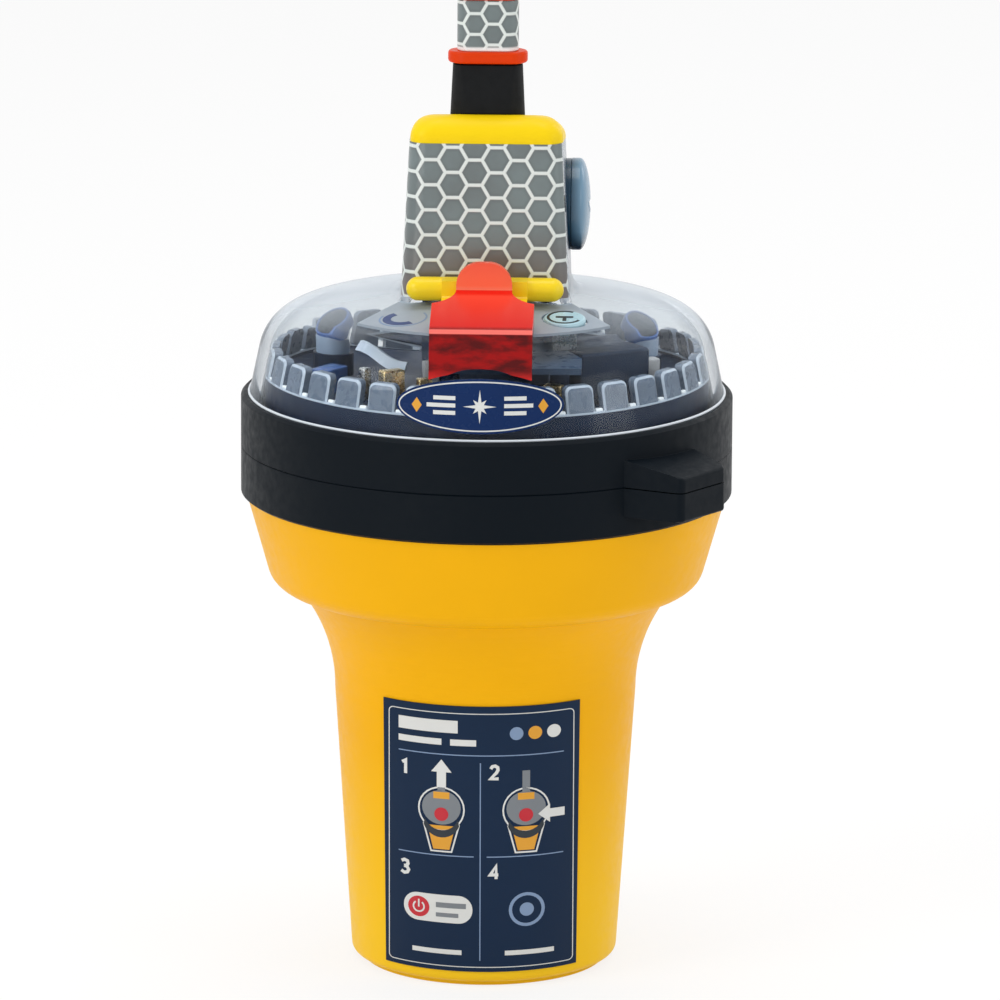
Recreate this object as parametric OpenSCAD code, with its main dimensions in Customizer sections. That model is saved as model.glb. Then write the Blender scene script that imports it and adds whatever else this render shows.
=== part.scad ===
// Emergency position beacon: a sealed floating case with a clear light dome, a
// reel-up tape antenna in a tower, and a guarded switch on the dome's roof.
// Millimetres. Origin at the centre of the foot, +Z up, front towards -Y.

/* [Lower case] */
// Radius of the flat foot
foot_r = 22.6; // [18:0.1:23.4]
// Height of the foot pad
foot_h = 0.9; // [0.5:0.1:2]
// Outer radius just above the base corner
base_r = 24.8; // [24:0.1:27]
// Rounding of the base corner
base_round = 1.5; // [1:0.1:2.2]
// Outer radius where the flare starts
waist_r = 28; // [27:0.1:30]
// Height where the flare starts
waist_z = 51.5; // [48:0.5:54]
// Radius of the concave flare
flare_r = 31; // [28:0.5:34]
// Height of the ledge above the flare
ledge_z = 71.3; // [69:0.1:72.5]
// Rounding of the ledge's edge
ledge_round = 4.4; // [3.5:0.1:5]
// Taper of the case above the ledge, in degrees from vertical
upper_taper = 15.8; // [12:0.1:20]
// Step from the collar's side in to the case under it
case_step = 1; // [0.8:0.1:1.6]
// Wall of the lower case
case_wall = 2.2; // [1.6:0.1:2.8]
// Height of the spigot that enters the collar
spigot_h = 6; // [6:0.1:6.8]

/* [Collar] */
// Height of the collar's underside
collar_z = 88.8; // [87.5:0.1:90]
// Outer radius of the collar
collar_r = 45.5; // [45.3:0.1:47]
// Height of the lower half
lower_half_h = 9.2; // [8.8:0.1:11]
// Height of the upper half
upper_half_h = 9.7; // [9:0.1:12]
// Height of the bottom edge's chamfer
collar_chamfer_h = 0.5; // [0.3:0.1:1.2]
// Width of the land that the sealing ring lies in
seal_land = 3.5; // [3:0.1:4.2]
// Wall of the collar outside the spigot
collar_wall = 3.2; // [2.6:0.1:3.6]
// Chamfer on each side of the parting line
seam_chamfer = 0.2; // [0.1:0.1:0.7]
// Section diameter of the sealing ring
seal_d = 1.8; // [1.4:0.1:2]

/* [Bracket lug] */
// Direction that the lug's face looks, in degrees from the front towards +X
lug_dir = 54.3; // [45:0.1:60]
// Distance of the lug's face from the collar's side
lug_out = 8.7; // [5:0.1:12]
// Sideways place of the lug's middle
lug_shift = -6; // [-8:0.1:0]
// Width of the lug at the collar
lug_base_w = 18.2; // [14:0.1:22]
// Width of the lug's face
lug_face_w = 14.1; // [10:0.1:14.5]
// Height of the lug's underside above the collar's underside
lug_lift = 3.8; // [3:0.1:5]
// Height of the lug at the collar
lug_h = 10; // [8:0.1:11]
// Slope of the lug's top, in degrees
lug_slope = 12; // [4:1:16]

/* [Lanyard eye] */
// Radius of the eye's hole
eye_r = 2; // [1.5:0.1:2.5]
// Thickness of the eye
eye_t = 3.4; // [2.4:0.1:5]
// Distance of the hole's middle from the collar's side
eye_out = 4; // [3.6:0.1:6]

/* [Dome] */
// Width of the collar's rim around the dome
dome_rim = 1.6; // [1.4:0.1:2.2]
// Draft of the dome's side, in degrees
dome_draft = 12; // [8:0.5:13]
// Outer rounding of the dome's shoulder
shoulder_round = 9.5; // [8:0.1:10.5]
// Height of the shoulder's centre above the rim
shoulder_h = 6.7; // [6:0.1:8]
// Slope of the roof, in degrees
roof_slope = 8.8; // [7:0.1:9.5]
// Wall of the dome and its tower
dome_wall = 2; // [1.6:0.1:2.2]
// Depth of the dome's seat below the rim
dome_socket = 3.5; // [3:0.1:4.5]

/* [Tower] */
// Width of the tower at the roof
tower_w = 30.9; // [30.6:0.1:33]
// Width of the tower under its cap
tower_top_w = 27.9; // [27.6:0.1:30]
// Depth of the tower at the roof
tower_d = 25; // [24:0.1:25.4]
// Depth of the tower under its cap
tower_top_d = 23.6; // [23.4:0.1:24]
// Rounding of the tower's corners
tower_round = 3.2; // [2.6:0.1:4]
// Height of the tower's top above the rim
tower_h = 48.6; // [47:0.1:52]
// Height of the yellow cap
cap_h = 4.8; // [4.4:0.1:7]
// Rounding of the cap's upper edges
cap_round = 4.2; // [3.4:0.1:4.4]
// Slope of the cap's top from its crest down to the back, in degrees
cap_fall = 12; // [8:0.5:13]
// Thickness of the reflective tape
tape_t = 0.2; // [0.1:0.05:0.3]

/* [Antenna] */
// Width of the steel blade
blade_w = 9.8; // [8:0.1:10]
// Thickness of the blade
blade_t = 0.35; // [0.2:0.05:0.5]
// Curvature of the blade across its width
blade_curve = 11; // [9:0.5:16]
// Outer radius of the wound blade
coil_r = 6; // [5.6:0.1:6.1]
// Radius of the reel's core
core_r = 4.6; // [4:0.1:5]
// Radius of the reel's flanges
flange_r = 6.8; // [6.6:0.1:6.9]
// Distance of the reel's axis behind the tower's middle
reel_back = 3.2; // [3:0.1:3.3]
// Height of the reel's axis above the rim
reel_h = 34.8; // [32:0.1:37]
// Radius of the reel's axle
axle_r = 1.5; // [1.3:0.1:1.8]
// Diameter of the rewind knob
knob_d = 17; // [14:0.1:19]
// Thickness of the rewind knob
knob_t = 3.5; // [3:0.1:5]
// Height of the rubber boot
boot_h = 8.8; // [7:0.1:12]
// Width of the boot at its foot
boot_w = 14; // [13:0.1:15]
// Depth of the boot at its foot
boot_d = 8.6; // [7:0.1:9]
// Thickness of the orange stop ring
stop_h = 2.2; // [2:0.1:4]
// Height of the reflective sleeve
sleeve_h = 9.6; // [8:0.1:14]
// Width of the reflective sleeve
sleeve_w = 11.3; // [11:0.1:12.5]
// Depth of the reflective sleeve
sleeve_d = 5; // [3.6:0.1:5.2]
// Height of the orange pull grip
grip_h = 12; // [9:0.1:16]

/* [Switches] */
// Distance of the on button in front of the axis
on_y = 29.5; // [28:0.1:31]
// Diameter of the on button
on_d = 9; // [7:0.1:10]
// Sideways distance of the test button
test_x = 14.7; // [14.6:0.1:15.4]
// Distance of the test button in front of the axis
test_y = 21.2; // [20.6:0.1:21.6]
// Diameter of the test button
test_d = 7.8; // [6:0.1:8]
// Height of a button above the roof
button_h = 1; // [0.8:0.1:1.2]
// Travel of a button
button_travel = 0.8; // [0.4:0.1:0.9]
// Thickness of the keypad
keypad_t = 0.5; // [0.3:0.1:0.6]

/* [Key cover] */
// Diameter of the cover's cross-bar
bar_d = 4.4; // [3.4:0.1:4.6]
// Clear height under the cross-bar
bar_lift = 1; // [0.8:0.1:1.6]
// Length of the cross-bar
bar_w = 28.8; // [26:0.1:30]
// Width of the cover's plate
cover_w = 15.6; // [14:0.1:15.8]
// Clear height under the plate
cover_lift = 1.7; // [1.6:0.1:1.8]
// Thickness of the plate
cover_t = 1; // [0.8:0.1:1.1]
// Front end of the plate, in front of the axis
cover_front = 36; // [35:0.1:37]

/* [Safety tab] */
// Width of the hood
hood_w = 18.6; // [18.4:0.1:20]
// Height of the hood above the roof at the tongue
hood_h = 4.7; // [4.6:0.1:5.4]
// Height of the hood above the roof at its nose
nose_h = 4.3; // [4.2:0.1:4.6]
// Wall of the hood
hood_wall = 1.3; // [1:0.1:1.4]
// Front edge of the hood's top, in front of the axis
nose_y = 39.2; // [38.8:0.1:39.8]
// Lower front edge of the hood, in front of the axis
lip_y = 42.4; // [42:0.1:43]
// Width of the tongue
tongue_w = 10.2; // [9:0.1:10.6]
// Height of the tongue's tip above the roof
tongue_h = 9.6; // [8:0.1:12]

/* [Label] */
// Width of the case's label at its lower edge
label_low_w = 35.3; // [30:0.1:38]
// Width of the case's label at its upper edge
label_top_w = 36.2; // [30:0.1:40]

/* [Electronics] */
// Diameter of a lithium cell
cell_d = 17; // [16:0.1:17.2]
// Length of a lithium cell
cell_l = 34.5; // [33:0.1:34.6]
// Gap between cells
cell_gap = 0.6; // [0.3:0.1:0.8]
// Gap between the main board and the collar's bore
board_gap = 1.4; // [0.8:0.1:4]
// Thickness of the boards
board_t = 1.6; // [1:0.1:1.8]
// Height of the main board above the parting line
board_h = 1.6; // [1.2:0.1:2]
// Number of teeth of the light ring
teeth = 34; // [24:2:40]
// Height of the teeth
tooth_h = 4.8; // [4:0.1:5.4]
// Sideways distance of each strobe light
strobe_x = 28.4; // [27:0.1:28.6]
// Diameter of a strobe light's body
strobe_d = 6.3; // [5:0.1:6.5]

/* [Hidden] */

$fn = 96;
hull_fn = 32;
eps = 0.01;

// Clearances
fit = 0.05;      // running clearance of a shaft, on its radius
slip = 0.3;      // free clearance between moving pieces
stop_gap = 0.2;  // gap under the stop ring when the antenna is down
skin_t = 0.25;   // thickness of printed labels
glue_t = 0.02;   // adhesive under the case's label

// Radii and heights that follow from the case and the collar
case_top_r = collar_r - case_step;
dome_r = collar_r - dome_rim;
lug_reach = collar_r + lug_out;
eye_reach = collar_r + eye_out;
seam_z = collar_z + lower_half_h;
rim_z = seam_z + upper_half_h;
dome_seat_z = rim_z - dome_socket;
spigot_r = collar_r - collar_wall;
collar_bore_r = spigot_r - seal_land;
board_r = collar_bore_r - board_gap;
spigot_z = collar_z + spigot_h;
case_floor_z = foot_h + case_wall;

// Case profile
flare_turn = asin((ledge_z - waist_z) / flare_r);
flare_steps = 14;
ledge_cz = ledge_z + ledge_round;
ledge_cr = case_top_r - ledge_round * cos(upper_taper)
    - (collar_z - ledge_cz + ledge_round * sin(upper_taper)) * tan(upper_taper);

// Dome profile
shoulder_z = rim_z + shoulder_h;
shoulder_cr = dome_r - (shoulder_h + shoulder_round * sin(dome_draft)) * tan(dome_draft)
    - shoulder_round * cos(dome_draft);
roof_peak_z = shoulder_z + shoulder_round * cos(roof_slope)
    + (shoulder_cr + shoulder_round * sin(roof_slope)) * tan(roof_slope);

// Tower
tower_foot_z = roof_z(tower_w / 2);
tower_top_z = rim_z + tower_h;
cap_top_z = tower_top_z + cap_h;
cap_plug_h = 3;
reel_z = rim_z + reel_h;
blade_y = -coil_r + reel_back - slip;
blade_bow = blade_curve - sqrt(pow(blade_curve, 2) - pow(blade_w / 2, 2));
tab_y = blade_y - blade_bow / 2;
boot_top_z = cap_top_z + boot_h;
boot_top_w = boot_w - 1.2;
boot_top_d = boot_d - 1.6;
cap_crest_y = tab_y - boot_d / 2 - 0.2;
stop_z = boot_top_z + stop_gap;
sleeve_z = stop_z + stop_h;
grip_z = sleeve_z + sleeve_h;

// Main board
shield_big = [20, 26, 3.4];
shield_small = [16, 20, 2.6];
shield_gap = 4;
socket = [9, 6, 5];
lead_x = 1.6;
lead_y = 22;
lead_r = 0.9;

// Inside the dome
chassis_rise = 3.5;
chassis_top_z = rim_z + chassis_rise;
deck_t = 1.5;
deck_z = chassis_top_z - 2;
chassis_r = dome_side_r(chassis_top_z, -dome_wall) - slip / 2;
chassis_ring_t = 1.8;
board_z = seam_z + board_h;
post_r = 2.6;
post_ring_r = board_r - 2 * post_r - 0.2;
post_count = 4;
screw_r = 1.25;
screw_bite = 5;
screw_head_r = 2.4;
frame_w = tower_top_w - 2 * dome_wall - 2 * slip;
frame_d = 18.4;
cheek_t = 1.6;
frame_top_z = tower_top_z - cap_plug_h - 0.1;
bush_r = 2.8;
reel_w = blade_w + 2 * slip;
reel_flange_t = 0.9;
axle_left_x = -frame_w / 2 + 0.2;
strobe_top_z = shoulder_z + 4.6;
strobe_h = 4;
strobe_lean = 27;
satnav = [14, 13, 8.4];
satnav_at = [21, -17.5];
satnav_turn = 28;
infrared_at = [0, 26];
infrared_post_h = 1.5;
infrared_r = 1.5;
frame_screw_x = 8;
frame_base_t = 2;
frame_bar_h = 3.2;
feed_leaf_t = 0.4;
feed_foot_w = 3;
tooth_base_h = 0.4;
tooth_t = 1.7;
tooth_gap = 2;

// Keys
key_pocket = button_travel + 0.4;
stem_r = 1.5;
key_board_drop = dome_wall + 4.2;
key_board_t = 1.2;
key_board_low = [-9, -34];
key_board_size = [27, 19];
key_post_r = 1.8;
key_post_places = [[-6, 24], [14, 27]];
switch_body = [4.4, 4.4, 0.8];
plunger_r = 1.2;

// The satellite antenna stands just under the test button's switch
satnav_top_z = roof_z(norm([test_x, test_y])) - slip - switch_body.y / 2 * sin(roof_slope)
    + (key_board_t - key_board_drop + roof_sink(test_x, test_y)) * cos(roof_slope);
satnav_foot_h = satnav_top_z - satnav.z - deck_z - deck_t;
switch_top = -dome_wall - button_travel - 0.8;
keypad_r = 31.6;
tower_front = tower_d / 2;
bar_y = tower_front + tape_t + slip + bar_d / 2;
bar_z = roof_z(bar_y) + bar_lift + bar_d / 2;
tongue_y = bar_y + bar_d / 2 + 1.3;
tongue_t = 1.5;
hood_shoulder_r = 7;
hood_foot_z = shoulder_z + 1.3;
hood_arch_r = 32;
arch_rise = 4.2;

// Battery
cell_ring_r = (cell_d + cell_gap) / sqrt(3);
tray_t = 1.2;
strap_t = 0.3;
spacer_t = 0.9;
clamp_t = 1.6;
clamp_arm_w = 6;
tray_h = 8;
cell_cap_d = 6;
lower_cell_z = case_floor_z + tray_t;
lower_strap_z = lower_cell_z + cell_l;
spacer_z = lower_strap_z + strap_t;
upper_cell_z = spacer_z + spacer_t;
upper_strap_z = upper_cell_z + cell_l;
clamp_z = upper_strap_z + strap_t;
pack_r = cell_ring_r + cell_d / 2 + 0.6;

// Rear water contacts
contact_turn = 26;
contact_r = 1.5;
contact_head_r = 2.6;
contact_head_h = 0.9;
nut_t = 1.6;
nut_r = 2.8;
contact_z = spigot_z - nut_r - 0.2;
contact_in_r = spigot_r - case_wall - nut_t - 1;

// Points on an arc from angle a to angle b, about (cx, cz)
function arc(cx, cz, r, a, b, steps = 12) =
    [for (i = [0:steps]) let (t = a + (b - a) * i / steps) [cx + r * cos(t), cz + r * sin(t)]];
function flip(points) = [for (i = [len(points) - 1:-1:0]) points[i]];

// Roof height at a radius, and side radius at a height, of the dome grown by g
function roof_z(r, g = 0) = roof_peak_z + g / cos(roof_slope) - r * tan(roof_slope);
function dome_side_r(z, g = 0) = dome_r + g / cos(dome_draft) - (z - rim_z) * tan(dome_draft);

// Half depth of the tower at a height
function tower_half_d(z) = (tower_d + (tower_top_d - tower_d)
    * (z - tower_foot_z) / (tower_top_z - tower_foot_z)) / 2;
function tower_half_w(z) = tower_half_d(z) + (tower_w - tower_d
    + (tower_top_w - tower_top_d - tower_w + tower_d)
    * (z - tower_foot_z) / (tower_top_z - tower_foot_z)) / 2;

// Sink of the conical roof below its front line's plane, at a place beside it
function roof_sink(x, y) = (roof_z(y) - roof_z(norm([x, y]))) * cos(roof_slope);

// Case profile, set inwards by t, from the base corner up to the collar
function case_side(t) = concat(
    arc(base_r - base_round, foot_h + base_round, max(base_round - t, 0.1), -90, 0, 6),
    arc(waist_r + flare_r, waist_z, flare_r + t,
        180, 180 - asin((ledge_z + t - waist_z) / (flare_r + t)), flare_steps),
    arc(ledge_cr, ledge_cz, ledge_round - t, -90, -upper_taper, 8));

// Dome profile grown by g, from its lower edge at z0 to the axis
function dome_profile(g, z0) = concat(
    [[0, z0], [dome_side_r(rim_z, g), z0]],
    z0 < rim_z ? [[dome_side_r(rim_z, g), rim_z]] : [],
    arc(shoulder_cr, shoulder_z, shoulder_round + g, dome_draft, 90 - roof_slope, 16),
    [[0, roof_z(0, g)]]);

module dome_solid(g, z0) rotate_extrude() polygon(dome_profile(g, z0));

// Block with rounded corners whose width and depth change from z0 to z1
module tapered_block(w0, d0, z0, w1, d1, z1, r) {
    hull() {
        for (sx = [-1, 1], sy = [-1, 1]) {
            translate([sx * (w0 / 2 - r), sy * (d0 / 2 - r), z0])
                cylinder(r = r, h = eps, $fn = hull_fn);
            translate([sx * (w1 / 2 - r), sy * (d1 / 2 - r), z1 - eps])
                cylinder(r = r, h = eps, $fn = hull_fn);
        }
    }
}

// The tower's outer form grown by g, between two heights
module tower_block(g, z0, z1) {
    tapered_block(2 * (tower_half_w(z0) + g), 2 * (tower_half_d(z0) + g), z0,
        2 * (tower_half_w(z1) + g), 2 * (tower_half_d(z1) + g), z1, tower_round + g);
}

// Places children on the roof: x across, y in front of the axis
module on_roof(x, y) {
    translate([x, -y, roof_z(norm([x, y]))]) rotate([roof_slope, 0, 0]) children();
}

// Solid from a side outline of [distance in front, height] points, w wide
module side_extrude(w, points) {
    translate([w / 2, 0, 0]) rotate([90, 0, -90]) linear_extrude(w) polygon(points);
}

module pill(w, d, h) {
    linear_extrude(h) {
        square([w - d, d], center = true);
        for (s = [-1, 1]) translate([s * (w - d) / 2, 0]) circle(d = d);
    }
}

// ---- Lower case and collar ----

module lower_case() {
    inner = flip(case_side(case_wall));
    color("gold") difference() {
        rotate_extrude() polygon(concat(
            [[0, 0], [foot_r, 0], [foot_r, foot_h]],
            case_side(0),
            [[case_top_r, collar_z], [spigot_r, collar_z], [spigot_r, spigot_z],
                [spigot_r - case_wall, spigot_z],
                [spigot_r - case_wall, collar_z - case_wall
                    - (case_top_r - spigot_r) / tan(upper_taper)]],
            inner,
            [[0, case_floor_z]]));
        contact_holes();
    }
}

// Plan of the bracket lug, pointing along +X before it is turned to its place
module lug_plan() {
    corner = 0.8;
    root_x = collar_r - 2.5;
    function side(s) = [for (p = [[root_x - 3.5, lug_base_w / 2], [root_x, lug_base_w / 2],
        [lug_reach - corner, lug_face_w / 2], [lug_reach, lug_face_w / 2 - corner]])
        [p.x, lug_shift + s * p.y]];
    polygon(concat(side(-1), flip(side(1))));
}

module lug_slice(z0, z1) {
    top_z = collar_z + lug_lift + lug_h;
    rotate([0, 0, lug_dir - 90]) difference() {
        translate([0, 0, z0]) linear_extrude(z1 - z0) lug_plan();
        translate([collar_r, 0, top_z]) rotate([0, lug_slope, 0])
            translate([-lug_reach / 2, -lug_reach / 2, 0]) cube(lug_reach);
    }
}

module collar_lower() {
    chamfer_w = case_top_r + 0.3;
    color("midnightblue") difference() {
        union() {
            rotate_extrude() polygon([[spigot_r, collar_z], [chamfer_w, collar_z],
                [collar_r, collar_z + collar_chamfer_h], [collar_r, seam_z - seam_chamfer],
                [collar_r - seam_chamfer, seam_z], [collar_bore_r, seam_z],
                [collar_bore_r, spigot_z], [spigot_r, spigot_z]]);
            difference() {
                lug_slice(collar_z + lug_lift, seam_z - seam_chamfer / 2);
                translate([0, 0, collar_z - 1]) cylinder(r = spigot_r + 1, h = lower_half_h + 2);
            }
        }
        seal_groove();
        contact_holes();
    }
}

// Eye for a lanyard, seated on the back of the collar's lower half
module lanyard_eye() {
    rim = 2.2;
    eye_z = collar_z + (lower_half_h - eye_t) / 2;
    color("midnightblue") translate([0, 0, eye_z]) difference() {
        union() {
            translate([0, eye_reach, 0]) cylinder(r = eye_r + rim, h = eye_t);
            translate([-eye_r - rim, spigot_r, 0]) cube([2 * (eye_r + rim), eye_reach - spigot_r, eye_t]);
        }
        translate([0, eye_reach, -1]) cylinder(r = eye_r, h = eye_t + 2);
        translate([0, 0, -1]) cylinder(r = collar_r, h = eye_t + 2);
    }
}

module contact_places() {
    for (s = [-1, 1]) rotate([0, 0, 90 + s * contact_turn]) translate([0, 0, contact_z]) children();
}

module contact_holes() {
    contact_places() rotate([0, 90, 0])
        translate([0, 0, contact_in_r - 1]) cylinder(r = contact_r, h = collar_r + 4 - contact_in_r);
}

module seal_groove() {
    rotate_extrude() translate([(collar_bore_r + spigot_r) / 2 - seal_d / 2, seam_z - seal_d])
        square([seal_d, seal_d + 1]);
}

module seal_ring() {
    color("black") rotate_extrude() translate([(collar_bore_r + spigot_r) / 2, seam_z - seal_d / 2])
        circle(d = seal_d, $fn = 32);
}

module collar_upper() {
    lip = 0.6;
    color("midnightblue") {
        rotate_extrude() polygon([[collar_bore_r, seam_z], [collar_r - seam_chamfer, seam_z],
            [collar_r, seam_z + seam_chamfer], [collar_r, rim_z - lip], [collar_r - lip, rim_z],
            [dome_side_r(rim_z), rim_z], [dome_side_r(rim_z), dome_seat_z],
            [collar_bore_r, dome_seat_z]]);
        difference() {
            lug_slice(seam_z + seam_chamfer / 2, rim_z - 1);
            translate([0, 0, seam_z - 1]) cylinder(r = collar_r - 1, h = upper_half_h + 2);
        }
    }
}

module water_contacts() {
    color("silver") contact_places() rotate([0, 90, 0]) {
        translate([0, 0, contact_in_r]) cylinder(r = contact_r, h = collar_r - contact_in_r);
        translate([0, 0, collar_r])
            cylinder(r1 = contact_head_r, r2 = contact_head_r - 0.4, h = contact_head_h);
    }
}

module contact_nuts() {
    color("silver") contact_places() rotate([0, 90, 0])
        translate([0, 0, contact_in_r + 0.4]) difference() {
            cylinder(r = nut_r, h = nut_t, $fn = 6);
            translate([0, 0, -1]) cylinder(r = contact_r, h = nut_t + 2);
        }
}

module case_label() {
    low = foot_h + base_round + 0.8;
    turn = 110;
    high = waist_z + flare_r * sin(2 * flare_turn / flare_steps);
    function side_r(z) = base_r + (waist_r - base_r)
        * (z - foot_h - base_round) / (waist_z - foot_h - base_round);
    outer = concat([[side_r(low), low]], arc(waist_r + flare_r, waist_z, flare_r,
        180, 180 - 2 * flare_turn / flare_steps, 2));
    color("darkslateblue") intersection() {
        rotate([0, 0, -90 - turn / 2]) rotate_extrude(angle = turn)
            polygon(concat([for (p = outer) [p.x + glue_t + skin_t, p.y]],
                [for (p = flip(outer)) [p.x + glue_t, p.y]]));
        rotate([90, 0, 0]) linear_extrude(2 * waist_r)
            polygon([[-label_low_w / 2, low - 1], [label_low_w / 2, low - 1],
                [label_top_w / 2, high + 1], [-label_top_w / 2, high + 1]]);
    }
}

// ---- Dome, tower and their fittings ----

module dome() {
    difference() {
        color("lightsteelblue", 0.4) union() {
            dome_solid(0, dome_seat_z);
            tower_block(0, tower_foot_z - 3, tower_top_z);
            tower_skirt();
        }
        dome_solid(-dome_wall, dome_seat_z - 1);
        tower_block(-dome_wall, tower_foot_z - 6, tower_top_z + 1);
        key_wells();
        translate([0, reel_back, reel_z]) rotate([0, 90, 0]) cylinder(r = axle_r + fit, h = tower_w);
    }
}

// Clear fillets where the tower's two sides meet the roof
module tower_skirt() {
    tapered_block(tower_w + 3.2, tower_d - 3, tower_foot_z - 1.5,
        tower_w - 0.6, tower_d - 3, tower_foot_z + 5, tower_round);
}

// Pockets and stem holes of the two buttons in the roof
module key_wells() {
    for (k = [[0, on_y, on_d], [test_x, test_y, test_d]]) on_roof(k[0], k[1]) {
        translate([0, 0, -key_pocket]) cylinder(d = k[2] + 2 * slip, h = key_pocket + 6);
        translate([0, 0, -key_board_drop]) cylinder(r = stem_r + slip, h = key_board_drop);
    }
}

// Everything above the plane that falls from the cap's crest to the back
module above_cap() {
    translate([0, cap_crest_y, cap_top_z]) rotate([-cap_fall, 0, 0])
        translate([-tower_w, 0, 0]) cube([2 * tower_w, 2 * tower_d, 2 * boot_h]);
}

// Places children at the centre of a corner of radius r in the cap's plan
module cap_corner(r, sx, sy) {
    translate([sx * (tower_top_w / 2 - r), sy * (tower_top_d / 2 - r), 0]) children();
}

module tower_cap() {
    w = tower_top_w;
    d = tower_top_d;
    color("gold") difference() {
        union() {
            difference() {
                hull() for (sx = [-1, 1], sy = [-1, 1]) {
                    cap_corner(tower_round, sx, sy) translate([0, 0, tower_top_z])
                        cylinder(r = tower_round, h = eps, $fn = hull_fn);
                    cap_corner(cap_round, sx, sy) translate([0, 0, cap_top_z - cap_round]) intersection() {
                        sphere(r = cap_round, $fn = hull_fn);
                        cylinder(r = cap_round, h = cap_round, $fn = hull_fn);
                    }
                }
                above_cap();
            }
            translate([0, 0, tower_top_z - cap_plug_h]) linear_extrude(cap_plug_h + eps)
                square([w - 2 * dome_wall - 3 * slip, d - 2 * dome_wall - 3 * slip], center = true);
        }
        translate([0, tab_y, tower_top_z - cap_plug_h - 1])
            pill(blade_w + 1.6, blade_bow + 2.6, cap_h + cap_plug_h + 2);
    }
}

module reflective_tape() {
    color("gray") difference() {
        intersection() {
            tower_block(tape_t, bar_z - bar_d / 2, tower_top_z - 0.3);
            translate([-tower_w, -tower_d, 0]) cube([tower_w + tower_top_w / 2 - 0.7, tower_d * 0.8, 400]);
        }
        tower_block(0, tower_foot_z - 3, tower_top_z);
        tower_skirt();
    }
}

module antenna_boot() {
    drop = cap_h - 1;
    color("#202426") difference() {
        intersection() {
            translate([0, tab_y, cap_top_z - drop]) hull() {
                pill(boot_w, boot_d, eps, $fn = hull_fn);
                translate([0, 0, drop + boot_h - 2]) pill(boot_top_w, boot_top_d, 2, $fn = hull_fn);
            }
            above_cap();
        }
        translate([0, tab_y, cap_top_z - drop - 1]) pill(blade_w + 1, blade_bow + 1.6, boot_h + drop + 2);
    }
}

// Two cheeks that carry the reel inside the tower, joined by a base and a bar
module reel_frame() {
    color("dimgray") difference() {
        union() {
            for (s = [-1, 1]) translate([(s * (frame_w - cheek_t) - cheek_t) / 2, -frame_d / 2, chassis_top_z])
                cube([cheek_t, frame_d, frame_top_z - chassis_top_z]);
            translate([-frame_w / 2, -frame_d / 2, chassis_top_z]) cube([frame_w, frame_d, frame_base_t]);
            translate([-frame_w / 2, frame_d / 2 - cheek_t, frame_top_z - frame_bar_h])
                cube([frame_w, cheek_t, frame_bar_h]);
        }
        frame_screw_places() cylinder(r = screw_r, h = 2 * screw_bite);
        translate([-tower_w, reel_back, reel_z]) rotate([0, 90, 0]) cylinder(r = bush_r, h = 2 * tower_w);
    }
}

module reel_bushes() {
    color("burlywood") for (s = [-1, 1]) translate([s * (frame_w - cheek_t) / 2, reel_back, reel_z])
        rotate([0, 90, 0]) difference() {
            cylinder(r = bush_r, h = cheek_t, center = true);
            cylinder(r = axle_r + fit, h = 2 * cheek_t, center = true);
        }
}

module post_places() {
    for (i = [0:post_count - 1]) rotate([0, 0, 45 + i * 360 / post_count])
        translate([post_ring_r, 0, 0]) children();
}

// Ring and deck that stand on the collar's seat and carry everything in the dome
module chassis() {
    ring_in = chassis_r - chassis_ring_t;
    color("midnightblue") difference() {
        union() {
            rotate_extrude() polygon([[collar_bore_r - 1, dome_seat_z], [chassis_r, dome_seat_z],
                [chassis_r, chassis_top_z], [ring_in, chassis_top_z],
                [ring_in, deck_z + deck_t], [0, deck_z + deck_t], [0, deck_z],
                [collar_bore_r - 1, deck_z]]);
            translate([0, 0, board_z + board_t]) post_places() cylinder(r = post_r, h = deck_z - board_z);
            translate([-frame_w / 2, -frame_d / 2, deck_z]) cube([frame_w, frame_d, chassis_top_z - deck_z]);
            for (s = [-1, 1]) translate([s * strobe_x, 0, deck_z])
                cylinder(d = strobe_d + 1.2, h = strobe_top_z - strobe_h - deck_z);
            satnav_place() cube([satnav.x + 1, satnav.y + 1, 2 * satnav_foot_h], center = true);
            infrared_place() cylinder(r = 2 * infrared_r, h = chassis_top_z + infrared_post_h - deck_z);
            key_posts();
        }
        translate([0, 0, board_z]) post_places() cylinder(r = screw_r, h = board_t + screw_bite + 0.4);
        frame_screw_places() cylinder(r = screw_r, h = 2 * screw_bite);
    }
}

module frame_screw_places() {
    for (s = [-1, 1]) translate([s * frame_screw_x, 0, deck_z]) children();
}

module satnav_place() {
    translate([satnav_at.x, satnav_at.y, deck_z + deck_t]) rotate([0, 0, satnav_turn]) children();
}

module infrared_place() {
    translate([infrared_at.x, infrared_at.y, deck_z]) children();
}

module key_posts() {
    difference() {
        for (p = key_post_places) translate([p.x, -p.y, deck_z])
            cylinder(r = key_post_r, h = roof_z(0) - deck_z);
        on_roof(0, 0) translate([-dome_r, -dome_r, -key_board_drop]) cube(2 * dome_r);
    }
}

module key_board() {
    color("darkgreen") difference() {
        on_roof(0, 0) translate([key_board_low.x, key_board_low.y, -key_board_drop])
            cube([key_board_size.x, key_board_size.y, key_board_t]);
        satnav_place() cube([satnav.x + 1, satnav.y + 1, 60], center = true);
    }
}

module key_switches() {
    base = -key_board_drop + key_board_t;
    color("silver") for (k = [[0, on_y], [test_x, test_y]]) on_roof(k[0], k[1])
        translate([0, 0, base + roof_sink(k[0], k[1])]) {
            translate([-switch_body.x / 2, -switch_body.y / 2, 0]) cube(switch_body);
            cylinder(r = plunger_r, h = switch_top - base - roof_sink(k[0], k[1]));
        }
}

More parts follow.
